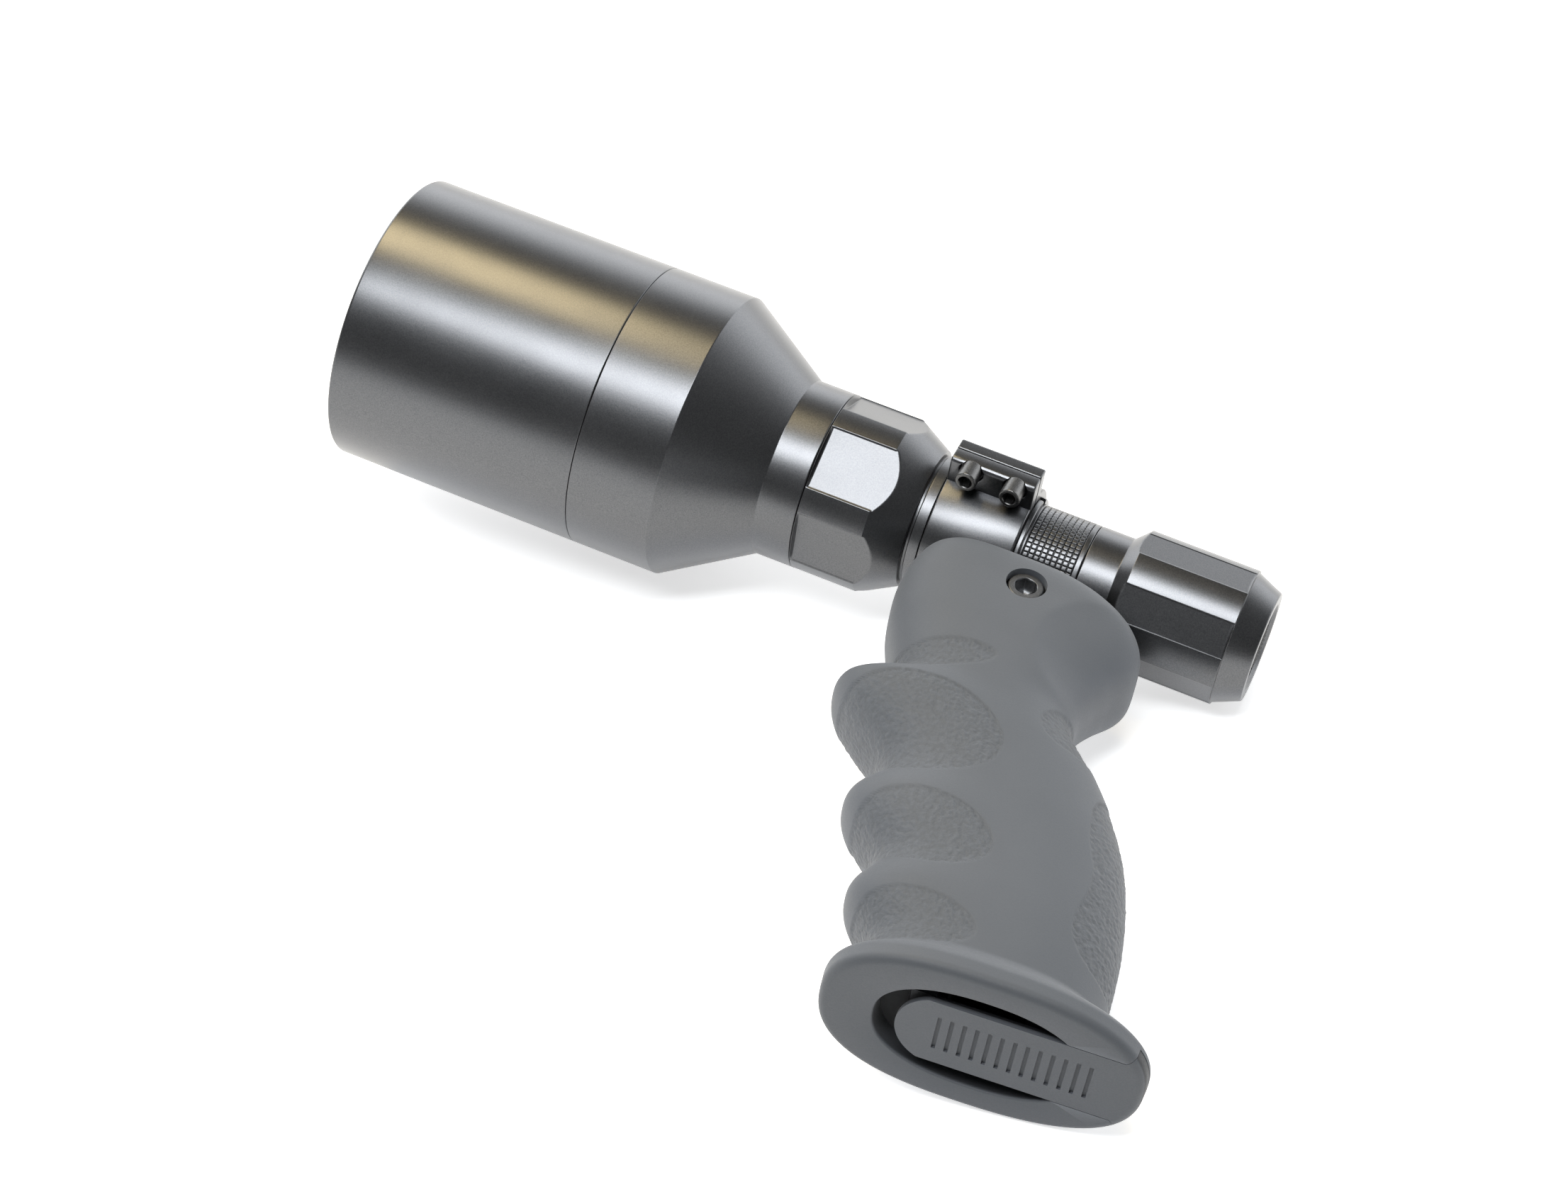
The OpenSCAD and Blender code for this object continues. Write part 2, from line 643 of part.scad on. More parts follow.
module grip_rubber() {
    outer_count = round((grip_top_z - foot_z) / grip_rise);
    outer = [for (k = [0 : outer_count]) grip_section(lerp(grip_top_z, foot_z, k / outer_count), 0, true)];
    inner = [for (k = [24 : -1 : 0]) grip_section(core_heights()[k], rubber_t, false)];
    lip = [grip_section(grip_top_z, rubber_t, false)];
    color([0.27, 0.28, 0.30]) resting_pose() difference() {
        ring_solid(concat(outer, [recess_ring(0)], [recess_ring(foot_floor)], inner, lip), true);
        translate([bolt_x, 0, bolt_z]) rotate([90, 0, 0]) cylinder(h = 60, r = bolt_hole_r, center = true);
        foot_frame() cover_shape(slide_gap, overcut);
    }
}
// Frame of the foot's flat face: X along the foot, Z into the grip
module foot_frame() {
    translate([foot_mid_x, 0, foot_z]) rotate([0, foot_angle, 0]) children();
}
cover_front = 17;        // reach of the cover in front of the middle of the foot
cover_tail_x = -165.6 - foot_mid_x;
cover_t = 3;
module cover_shape(grow, below) {
    translate([0, 0, -below]) linear_extrude(height = cover_t + grow + below)
        polygon(concat(
            [for (a = [-80 : 20 : 80])
                [cover_front - cover_half_w + (cover_half_w + grow) * cos(a), (cover_half_w + grow) * sin(a)]],
            [
                [cover_tail_x, cover_half_w + grow], [cover_tail_x - 8, cover_half_w + 8 + grow],
                [cover_tail_x - 8, -cover_half_w - 8 - grow], [cover_tail_x, -cover_half_w - grow]
            ]
        ));
}
module grip_cover() {
    slot_count = 13;
    slot_pitch = 2.58;
    slot_w = 1.3;
    slot_half_len = 4.7;
    slot_depth = 0.8;
    color([0.27, 0.28, 0.30]) resting_pose() difference() {
        union() {
            intersection() {
                foot_frame() cover_shape(0, 0);
                ring_solid([for (k = [5 : -1 : 0]) grip_section(foot_z + k, 0, true)], false);
            }
            foot_frame() {
                translate([lug_front - lug_length, -lug_neck_w, cover_t - 0.5])
                    cube([lug_length, 2 * lug_neck_w, lug_tee_top - cover_t + 0.5]);
                translate([lug_front - lug_length, -lug_tee_w, lug_neck_top])
                    cube([lug_length, 2 * lug_tee_w, lug_tee_top - lug_neck_top]);
            }
        }
        foot_frame()
            for (k = [0 : slot_count - 1])
                translate([cover_tail_x + 5.65 + slot_pitch * k, -slot_half_len, -overcut])
                    cube([slot_w, 2 * slot_half_len, slot_depth + overcut]);
    }
}
module grip_bolt() {
    color([0.2, 0.2, 0.21]) resting_pose() translate([bolt_x, 0, bolt_z]) rotate([-90, 0, 0]) difference() {
        union() {
            translate([0, 0, bolt_head_y]) cylinder(h = bolt_head_h, r = bolt_head_r);
            translate([0, 0, -16]) cylinder(h = 29, r = bolt_shank_r);
        }
        translate([0, 0, bolt_head_y + 1.2]) cylinder(h = 3, r = 2.35, $fn = 6);
    }
}
module grip_nut() {
    color([0.2, 0.2, 0.21]) resting_pose() translate([bolt_x, 0, bolt_z]) rotate([-90, 0, 0]) difference() {
        translate([0, 0, -16.3]) cylinder(h = 3.5, r = 4.4, $fn = 6);
        translate([0, 0, -20]) cylinder(h = 10, r = 2.5);
    }
}
module rail_jaw(side) {
    color([0.14, 0.14, 0.15]) resting_pose() difference() {
        along_x(rail_back_x, rail_length) scale([side, 1])
            polygon([
                [8.5, -17.9], [10.7, -17.9], [12.7, -19.4], [12.7, -31.8], [5, -31.8], [5, -25.6],
                [8.1, -25.6], [10.75, -22.75], [10.75, -20.7], [8.5, -18.3]
            ]);
        translate([bolt_x, 0, bolt_z]) rotate([90, 0, 0]) cylinder(h = 60, r = bolt_shank_r + 0.1, center = true);
    }
}
module rail_jaw_left() {
    rail_jaw(1);
}
module rail_jaw_right() {
    rail_jaw(-1);
}

hood();
front_lens();
lens_ring();
lens_seal();
head_body();
spigot_seal();
led_pill();
led_board();
led_emitter();
driver_board();
neck_ring();
battery_tube();
battery_cell();
tube_seal();
tube_sleeve();
tail_cap();
tail_spring();
switch_module();
switch_ring();
tail_button();
ring_base();
ring_cap();
ring_screws();
grip_core();
grip_rubber();
grip_cover();
grip_bolt();
grip_nut();
rail_jaw_left();
rail_jaw_right();
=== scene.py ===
# Pistol-grip spotlight torch: the visual model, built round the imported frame.
#
# Pieces are drawn in the tool's working frame, in millimetres: X forward along the optical
# axis from the seam between hood and head body, Y to the tool's left, Z up and away from
# the grip. to_row() carries them into the row frame, in metres.
import json
import math

import bmesh
import bpy
import numpy as np
from mathutils import Matrix, Vector, noise


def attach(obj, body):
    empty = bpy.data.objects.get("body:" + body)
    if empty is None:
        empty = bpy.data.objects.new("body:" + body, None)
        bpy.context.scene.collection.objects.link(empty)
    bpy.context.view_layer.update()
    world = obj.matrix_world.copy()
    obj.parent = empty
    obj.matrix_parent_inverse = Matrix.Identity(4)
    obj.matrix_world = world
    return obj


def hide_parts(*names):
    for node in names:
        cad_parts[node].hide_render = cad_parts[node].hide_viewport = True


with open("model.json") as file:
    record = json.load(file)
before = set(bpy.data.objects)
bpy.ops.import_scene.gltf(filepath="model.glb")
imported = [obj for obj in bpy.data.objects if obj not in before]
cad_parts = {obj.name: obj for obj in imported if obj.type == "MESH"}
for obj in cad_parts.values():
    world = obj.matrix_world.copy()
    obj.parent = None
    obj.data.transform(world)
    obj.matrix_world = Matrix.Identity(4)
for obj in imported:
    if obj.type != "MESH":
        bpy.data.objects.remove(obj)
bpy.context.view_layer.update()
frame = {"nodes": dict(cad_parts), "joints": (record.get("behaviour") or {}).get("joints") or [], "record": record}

MM = 0.001
JOINTS = {joint["name"]: joint for joint in frame["joints"]}
MOUNTS = {mount["name"]: mount for mount in frame["record"]["mounts"]}

# ---- the working frame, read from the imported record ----
RIM_MOUNT_X = 30.0
forward = Vector(JOINTS["focus_slide"]["axis"]).normalized()
foot_out = Vector(MOUNTS["grip_foot"]["axis"])
up = -(foot_out - foot_out.dot(forward) * forward).normalized()
left = up.cross(forward)
seam = Vector(MOUNTS["front_rim"]["pos_m"]) - forward * RIM_MOUNT_X * MM
AXES = np.array([forward, left, up])


def to_row(points):
    return np.asarray(points, float) @ AXES * MM + np.array(seam)


# ---- driving dimensions, as the part has them ----
HEAD_R = 33.5
HOOD_X = 60.0
HOOD_BORE_R = HEAD_R - 2.6
SHOULDER_X = -20.0
NECK_X = -40.2
NECK_R = 20.9
FLATS_X = -49.4
LANDS_END_X = -65.0
COLLAR_X = -73.6
COLLAR_R = 16.2
RING_FRONT_X = -77.0
RING_REAR_X = -97.0
KNURL_FRONT_X = -98.8
KNURL_REAR_X = -110.6
CAP_FRONT_X = -112.0
CAP_CONE_X = -119.9
CAP_FLATS_X = -123.0
CAP_CHAMFER_X = -148.3
TAIL_X = -154.5
TUBE_R = 12.7
CAP_R = 15.8
RING_R = 15.8
RING_BORE_R = 13.42
EAR_Y = 22.1
EAR_TOP_Z = 5.7
EAR_BOTTOM_Z = -2.0
SPLIT_Z = 1.9
SCREW_Y = 20.1
SCREW_XS = (-82.1, -92.5)
BOLT_X = -104.5
BOLT_Z = -25.8
BOLT_HOLE_R = 4.55


# ---- materials ----
RANGE_INPUTS = ("From Min", "From Max", "To Min", "To Max")


class Shader:
    """A material or world under construction: most calls add one node and return its output."""

    def __init__(self, owner, surface="Principled BSDF", coordinates="Object"):
        self.owner = owner
        owner.use_nodes = True
        self.tree = owner.node_tree
        self.surface = self.tree.nodes[surface]
        self.place = self.add("ShaderNodeTexCoord", {}).outputs[coordinates]

    def add(self, kind, inputs, **settings):
        node = self.tree.nodes.new(kind)
        for key, value in settings.items():
            setattr(node, key, value)
        for key, value in inputs.items():
            self.feed(node.inputs[key], value)
        return node

    def feed(self, socket, value):
        if isinstance(value, bpy.types.NodeSocket):
            self.tree.links.new(value, socket)
        else:
            socket.default_value = value

    def noise(self, per_metre, detail=3.0, roughness=0.55):
        inputs = {"Vector": self.place, "Scale": per_metre, "Detail": detail, "Roughness": roughness}
        return self.add("ShaderNodeTexNoise", inputs).outputs["Fac"]

    def scaled(self, value, from_low, from_high, to_low, to_high, interpolation="LINEAR"):
        inputs = dict(zip(RANGE_INPUTS, (from_low, from_high, to_low, to_high)), Value=value)
        node = self.add("ShaderNodeMapRange", inputs, interpolation_type=interpolation)
        return node.outputs["Result"]

    def math(self, operation, a, b):
        return self.add("ShaderNodeMath", {0: a, 1: b}, operation=operation).outputs[0]

    def mix(self, share, low, high):
        node = self.add("ShaderNodeMix", {"Factor": share}, data_type="RGBA")
        for slot, colour in ((6, low), (7, high)):
            linked = isinstance(colour, bpy.types.NodeSocket)
            self.feed(node.inputs[slot], colour if linked else (*colour, 1))
        return node.outputs[2]

    def attribute(self, name):
        return self.add("ShaderNodeAttribute", {}, attribute_name=name).outputs["Fac"]

    def bump(self, height, depth, strength, under=None):
        inputs = {"Height": height, "Distance": depth, "Strength": strength}
        if under:
            inputs["Normal"] = under
        return self.add("ShaderNodeBump", inputs).outputs["Normal"]

    def finish(self, **sockets):
        for key, value in sockets.items():
            self.feed(self.surface.inputs[key.replace("_", " ")], value)
        return self.owner


def anodised(name):
    """Black anodised aluminium: a fine bead-blasted grain with a faint sparkle."""
    shader = Shader(bpy.data.materials.new(name))
    grain = shader.noise(3600, detail=1.5, roughness=0.5)
    cloud = shader.noise(60, detail=4.0)
    colour = shader.mix(shader.scaled(grain, 0.3, 0.7, 0, 1), (0.104, 0.107, 0.113), (0.140, 0.142, 0.147))
    rough = shader.math("ADD", shader.scaled(grain, 0.25, 0.75, -0.015, 0.03),
                        shader.scaled(cloud, 0.3, 0.7, 0.30, 0.33))
    normal = shader.bump(grain, 0.00002, 0.3)
    return shader.finish(Base_Color=colour, Metallic=1.0, Roughness=rough, Normal=normal)


def grip_rubber_material(name):
    """Moulded rubber: matte and finely dimpled, with a coarser stipple where the mesh's "stipple"
    attribute is 1, painted shade in the stipple's pits, and painted shade that darkens it as
    its "inside" attribute rises to 1, on the foot and in its pocket."""
    shader = Shader(bpy.data.materials.new(name))
    fine = shader.noise(2600)
    stipple = shader.noise(950, detail=2.0, roughness=0.5)
    patch = shader.attribute("stipple")
    cloud = shader.noise(35)
    base = shader.mix(shader.scaled(cloud, 0.35, 0.65, 0, 1),
                      (0.089, 0.098, 0.111), (0.097, 0.106, 0.120))
    # Painted shade: the pits of the stipple, the low points of its bump, are drawn darker.
    pit_shaded = shader.mix(shader.math("MULTIPLY", patch, shader.scaled(stipple, 0.38, 0.6, 0.5, 0.0)),
                        base, (0.074, 0.080, 0.087))
    # Painted shade: toward near-black where "inside" is 1, in the foot's pocket and on the cover's walls, and
    # partly on the foot.
    shade_painted = shader.mix(shader.attribute("inside"), pit_shaded, (0.022, 0.024, 0.028))
    under = shader.bump(fine, 0.00006, 0.5)
    normal = shader.bump(shader.math("MULTIPLY", stipple, patch), 0.00035, 0.7, under)
    rough = shader.scaled(fine, 0.3, 0.7, 0.56, 0.68)
    return shader.finish(Base_Color=shade_painted, Roughness=rough, Normal=normal,
                         Sheen_Weight=0.08, Sheen_Roughness=0.5)


def plain(name, low, high, roughness, grain=900, depth=0.00004, metallic=0.0):
    """A plain moulded or turned surface with a little variation in colour and gloss."""
    shader = Shader(bpy.data.materials.new(name))
    variation = shader.noise(grain)
    share = shader.scaled(variation, 0.35, 0.65, 0, 1)
    return shader.finish(
        Base_Color=shader.mix(share, low, high), Metallic=metallic,
        Roughness=shader.scaled(variation, 0.3, 0.7, roughness - 0.05, roughness + 0.05),
        Normal=shader.bump(variation, depth, 0.4))


def lens_glass_material(name):
    """Clear coated glass with a trace of smudges."""
    shader = Shader(bpy.data.materials.new(name))
    smudge = shader.noise(90, detail=4.0)
    return shader.finish(Base_Color=(0.93, 0.97, 0.96, 1), Transmission_Weight=1.0, IOR=1.52,
                         Coat_Weight=0.4, Coat_Tint=(0.65, 0.75, 1.0, 1),
                         Roughness=shader.scaled(smudge, 0.3, 0.7, 0.0, 0.03))


# Low colour, high colour and roughness
PLAIN_FINISHES = {
    "seal_rubber": ((0.012, 0.012, 0.012), (0.02, 0.02, 0.02), 0.45),
    "button_rubber": ((0.022, 0.022, 0.024), (0.035, 0.035, 0.037), 0.55),
    "core_plastic": ((0.018, 0.019, 0.021), (0.026, 0.027, 0.029), 0.9),
    "white_board": ((0.75, 0.75, 0.72), (0.82, 0.82, 0.8), 0.4),
    "green_board": ((0.02, 0.12, 0.05), (0.03, 0.16, 0.07), 0.4),
    "emitter": ((0.8, 0.62, 0.12), (0.85, 0.7, 0.2), 0.2),
    "cell_wrap": ((0.03, 0.1, 0.3), (0.04, 0.13, 0.36), 0.35),
}
# The same, then the noise scale per metre and the depth of the grain in metres
METAL_FINISHES = {
    "brass": ((0.62, 0.44, 0.17), (0.72, 0.53, 0.23), 0.3, 2500, 0.00004),
    "bare_aluminium": ((0.7, 0.7, 0.72), (0.8, 0.8, 0.82), 0.32, 2500, 0.00004),
    "spring_steel": ((0.6, 0.57, 0.48), (0.7, 0.67, 0.58), 0.3, 4000, 0.00004),
    "bolt_steel": ((0.130, 0.134, 0.141), (0.185, 0.19, 0.198), 0.42, 4000, 0.00003),
    "black_steel": ((0.10, 0.10, 0.10), (0.16, 0.16, 0.158), 0.36, 4000, 0.00003),
}
MATERIALS = {
    "anodised": anodised("black_anodised"),
    "lens_glass": lens_glass_material("lens_glass"),
    "grip_rubber": grip_rubber_material("grip_rubber"),
}
for finish_name, values in PLAIN_FINISHES.items():
    MATERIALS[finish_name] = plain(finish_name, *values)
for finish_name, values in METAL_FINISHES.items():
    MATERIALS[finish_name] = plain(finish_name, *values, metallic=1.0)


# ---- mesh helpers ----
def outward_mesh(name, points, faces):
    """A mesh whose faces all point outward, whatever way round they were listed."""
    mesh = bpy.data.meshes.new(name)
    mesh.from_pydata(np.asarray(points).tolist(), [], faces)
    work = bmesh.new()
    work.from_mesh(mesh)
    bmesh.ops.recalc_face_normals(work, faces=work.faces)
    work.to_mesh(mesh)
    work.free()
    return mesh


def values_of(collection, key, kind, per_item=1):
    values = np.zeros(len(collection) * per_item, kind)
    collection.foreach_get(key, values)
    return values


def area_normals(mesh):
    """Vertex normals weighted by face area, so that flat faces stay flat beside small bevels."""
    face_normals = values_of(mesh.polygons, "normal", np.float32, 3).reshape(-1, 3)
    weighted = face_normals * values_of(mesh.polygons, "area", np.float32)[:, None]
    sizes = values_of(mesh.polygons, "loop_total", np.int32)
    corners = values_of(mesh.loops, "vertex_index", np.int32)
    normals = np.zeros((len(mesh.vertices), 3))
    np.add.at(normals, corners, np.repeat(weighted, sizes, axis=0))
    length = np.linalg.norm(normals, axis=1, keepdims=True)
    return normals / np.maximum(length, 1e-20)


def piece(name, points, faces, body, slot, node, material=None, crisp=None):
    """One visible piece, which stands for a CAD node, from points in the working frame; edges
    sharper than crisp degrees stay sharp, and without it the mesh's small bevels carry the shading."""
    mesh = outward_mesh(name, to_row(points), faces)
    mesh.shade_smooth()
    if crisp:
        mesh.set_sharp_from_angle(angle=math.radians(crisp))
    else:
        mesh.normals_split_custom_set_from_vertices(area_normals(mesh).tolist())
    obj = bpy.data.objects.new(name, mesh)
    bpy.context.scene.collection.objects.link(obj)
    obj.data.materials.append(material or MATERIALS[slot])
    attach(obj, body)
    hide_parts(node)
    return obj


def grid_faces(rows, columns, wrap_rows=False, wrap_columns=True):
    """The faces between neighbouring rows and columns of points, listed row by row."""
    faces = []
    for i in range(rows if wrap_rows else rows - 1):
        here, there = i * columns, (i + 1) % rows * columns
        for j in range(columns if wrap_columns else columns - 1):
            k = (j + 1) % columns
            faces.append((here + j, here + k, there + k, there + j))
    return faces


def closed_faces(rows, columns):
    """The faces of a stack of rings, with one face across each end."""
    last = rows * columns
    ends = [tuple(reversed(range(columns))), tuple(range(last - columns, last))]
    return grid_faces(rows, columns) + ends


FILLET_STEPS = 4


def fillet(before, corner, after, radius):
    """The arc that rounds one corner of an outline."""
    to_before = before - corner
    to_after = after - corner
    u = to_before / np.linalg.norm(to_before)
    v = to_after / np.linalg.norm(to_after)
    half = math.acos(max(-1.0, min(1.0, float(u @ v)))) / 2
    if half > math.radians(89) or radius <= 0:
        return [corner]
    longest = 0.48 * min(np.linalg.norm(to_before), np.linalg.norm(to_after))
    reach = min(radius / math.tan(half), longest)
    middle = (u + v) / np.linalg.norm(u + v)
    centre = corner + middle * reach / math.cos(half)
    start = corner + u * reach - centre
    end = corner + v * reach - centre
    sweep = math.pi - 2 * half
    arc = []
    for t in np.linspace(0, 1, FILLET_STEPS + 1):
        along = math.sin((1 - t) * sweep) * start + math.sin(t * sweep) * end
        arc.append(centre + along / math.sin(sweep))
    return arc


def rounded(corners, radius=0.2, longest=None, closed=True):
    """An outline from corner points (x, y) or (x, y, radius), with its long sides divided."""
    points = [np.array(corner[:2], float) for corner in corners]
    radii = [corner[2] if len(corner) > 2 else radius for corner in corners]
    outline = []
    count = len(points)
    for k in range(count):
        if closed or 0 < k < count - 1:
            outline += fillet(points[k - 1], points[k], points[(k + 1) % count], radii[k])
        else:
            outline.append(points[k])
    if longest is None:
        return np.array(outline)
    divided = []
    for k, point in enumerate(outline):
        divided.append(point)
        if k == len(outline) - 1 and not closed:
            break
        step = outline[(k + 1) % len(outline)] - point
        parts = int(np.linalg.norm(step) / longest) + 1
        divided += [point + step * i / parts for i in range(1, parts)]
    return np.array(divided)


def circle_angles(count):
    return np.arange(count) * 2 * math.pi / count


def around(xs, radii, angles):
    """Points of a surface round the optical axis; xs and radii are arrays (rows, columns)."""
    return np.stack([xs, radii * np.cos(angles), radii * np.sin(angles)], axis=-1)


def turned_points(outline, angles, shape=None):
    """Points round the axis from an outline of (x, radius); shape(x, r, angle) can cut them."""
    xs, radii = (np.repeat(outline[:, k:k + 1], len(angles), axis=1) for k in (0, 1))
    if shape:
        xs, radii = shape(xs, radii, np.broadcast_to(angles, xs.shape))
    return around(xs, radii, angles).reshape(-1, 3)


def turned(name, outline, body, slot, node, shape=None, angles=circle_angles(256)):
    """A turned piece, such as a tube, from a closed outline."""
    faces = grid_faces(len(outline), len(angles), wrap_rows=True)
    piece(name, turned_points(outline, angles, shape), faces, body, slot, node)


def turned_solid(outline, angles, shape=None):
    """Points and faces of a turned solid whose open outline starts and ends on the axis."""
    ends = [(outline[0, 0], 0, 0), (outline[-1, 0], 0, 0)]
    points = np.vstack([turned_points(outline[1:-1], angles, shape), ends])
    columns = len(angles)
    first_end = len(points) - 2
    last_row = first_end - columns
    faces = grid_faces(len(outline) - 2, columns)
    for j in range(columns):
        k = (j + 1) % columns
        faces += [(first_end, k, j), (first_end + 1, last_row + j, last_row + k)]
    return points, faces


# ---- turned metal pieces ----
FLAT_COUNT = 6
NECK_FLAT_ANGLE = 27.0    # degrees, as are the next three
NECK_FLAT_HALF = 21.0
TAIL_FLAT_ANGLE = 7.5
TAIL_FLAT_HALF = 15.2
FLAT_WALL = 0.12
FLAT_REACH = 2.5          # how far below its flats a piece counts as outer skin
SPIGOT_R = 31.35
SPIGOT_BORE_R = 28.35
NECK_BORE_R = 17.5
TUBE_BORE_R = 9.6
TUBE_SEAT_R = 12.35
TAIL_THREAD_R = 11.5
TAIL_BORE_R = 9.9


def with_flats(first_angle, half_angle, land_r, sink, x_front, x_rear, front_wall=FLAT_WALL):
    """Cuts six flats between two stations; the flats run out on the cones beside the lands."""
    half = math.radians(half_angle)
    distance = land_r * math.cos(half) - sink
    turn = 2 * math.pi / FLAT_COUNT

    def shape(xs, radii, angles):
        offset = (angles - math.radians(first_angle) + turn / 2) % turn - turn / 2
        flat = distance / np.cos(offset)
        cut = np.where(np.abs(offset) <= half + 1e-6, np.minimum(radii, flat), radii)
        inside = np.clip((x_front - xs) / front_wall, 0, 1) * np.clip((xs - x_rear) / FLAT_WALL, 0, 1)
        share = np.where(radii > distance - FLAT_REACH, inside, 0.0)
        return xs, radii + (cut - radii) * share

    return shape


def flat_angles(first_angle, half_angle, across, between, wall):
    """Column angles with a close pair at each edge of each flat, where its little wall stands."""
    turn = 360 / FLAT_COUNT
    angles = []
    for k in range(FLAT_COUNT):
        middle = first_angle + k * turn
        angles += list(np.linspace(middle - half_angle, middle + half_angle, across))
        angles.append(middle + half_angle + wall)
        land = np.linspace(middle + half_angle + wall, middle + turn - half_angle - wall, between)
        angles += list(land[1:])
    return np.radians(angles)


def make_hood():
    outline = rounded([
        (0.02, SPIGOT_R + 0.08), (0.02, HEAD_R, 0.3), (HOOD_X, HEAD_R, 0.7), (HOOD_X, HOOD_BORE_R, 0.4),
        (44.0, HOOD_BORE_R, 0.1), (44.0, HOOD_BORE_R - 2.6, 0.2), (42.0, HOOD_BORE_R - 2.6, 0.2),
        (39.4, HOOD_BORE_R, 0.1), (26.0, HOOD_BORE_R, 0.1), (25.6, SPIGOT_R + 0.08, 0.1),
    ], longest=4.0)
    turned("hood_shell", outline, "hood", "anodised", "hood")


def make_head_body():
    outline = rounded([
        (24.0, SPIGOT_BORE_R), (24.0, SPIGOT_R, 0.6), (17.0, SPIGOT_R, 0.1),
        (17.0, SPIGOT_R - 1.2, 0.1), (15.0, SPIGOT_R - 1.2, 0.1), (15.0, SPIGOT_R, 0.1),
        (-0.1, SPIGOT_R, 0.1), (-0.1, HEAD_R, 0.12), (SHOULDER_X, HEAD_R, 0.5), (NECK_X, NECK_R, 0.5),
        (FLATS_X + 0.05, NECK_R, 0.4), (FLATS_X + 0.05, NECK_BORE_R, 0.1),
        (NECK_X + 2, NECK_BORE_R, 0.3), (SHOULDER_X + 3, SPIGOT_BORE_R, 0.3),
    ], longest=4.0)
    turned("head_body_shell", outline, "frame", "anodised", "head_body")


def make_neck_ring():
    corners = [
        (FLATS_X + 0.95, 12), (FLATS_X + 0.95, NECK_BORE_R - 0.1, 0.1),
        (FLATS_X - 0.05, NECK_BORE_R - 0.1, 0.05),
        (FLATS_X - 0.05, NECK_R, 0.15), (LANDS_END_X, NECK_R, 0.25), (COLLAR_X, COLLAR_R, 0.3),
        (COLLAR_X - 0.1, 14.8, 0.1), (COLLAR_X - 0.7, 14.8, 0.1), (COLLAR_X - 0.8, 15.5, 0.25),
        (COLLAR_X - 3.3, 15.5, 0.15), (COLLAR_X - 3.3, TUBE_SEAT_R, 0.1),
        (FLATS_X - 10.6, TUBE_SEAT_R, 0.1), (FLATS_X - 10.6, TUBE_BORE_R, 0.1),
        (FLATS_X - 3.3, TUBE_BORE_R, 0.1), (FLATS_X - 3.3, 12, 0.1),
    ]
    outline = rounded(corners, longest=0.3)
    shape = with_flats(NECK_FLAT_ANGLE, NECK_FLAT_HALF, NECK_R, sink=0.28, x_front=FLATS_X - 0.2,
                       x_rear=LANDS_END_X - 4)
    angles = flat_angles(NECK_FLAT_ANGLE, NECK_FLAT_HALF, across=60, between=30, wall=0.35)
    turned("neck_ring_shell", outline, "frame", "anodised", "neck_ring", shape, angles)


def make_tail_cap():
    corners = [
        (CAP_FRONT_X - 6.6, TAIL_THREAD_R + 0.05), (CAP_FRONT_X - 0.05, TAIL_THREAD_R + 0.05, 0.1),
        (CAP_FRONT_X - 0.05, TUBE_R, 0.25), (CAP_CONE_X, TUBE_R, 0.3), (CAP_FLATS_X, CAP_R, 0.2),
        (CAP_CHAMFER_X, CAP_R, 0.12), (CAP_CHAMFER_X - 0.1, CAP_R - 0.5, 0.05), (TAIL_X, 12.7, 0.4),
        (TAIL_X, 10.3, 0.2), (TAIL_X + 0.8, 9.5, 0.1), (TAIL_X + 4.3, 9.5, 0.1), (TAIL_X + 4.3, 11, 0.1),
        (TAIL_X + 20, 11, 0.1), (TAIL_X + 20, TAIL_BORE_R, 0.1), (CAP_FRONT_X - 6.6, TAIL_BORE_R, 0.1),
    ]
    outline = rounded(corners, longest=0.35)
    shape = with_flats(TAIL_FLAT_ANGLE, TAIL_FLAT_HALF, CAP_R, sink=0.1, x_front=CAP_FLATS_X + 2,
                       x_rear=CAP_CHAMFER_X + 0.02, front_wall=0.02)
    angles = flat_angles(TAIL_FLAT_ANGLE, TAIL_FLAT_HALF, across=36, between=36, wall=0.3)
    turned("tail_cap_shell", outline, "tail_cap", "anodised", "tail_cap", shape, angles)


KNURL_COLUMNS = 9
KNURL_ROWS = 70
KNURL_GROOVE = 0.14     # share of a cell taken by the groove
KNURL_DEPTH = 0.3


def knurl_profile():
    """Places across one cell, and how high the pillow stands at each of them."""
    wall = KNURL_GROOVE / 2
    return [(0.0, 0.0), (wall * 0.5, 0.0), (wall, 0.93), (0.22, 0.99), (0.5, 1.0), (0.78, 0.99),
            (1 - wall, 0.93), (1 - wall * 0.5, 0.0)]


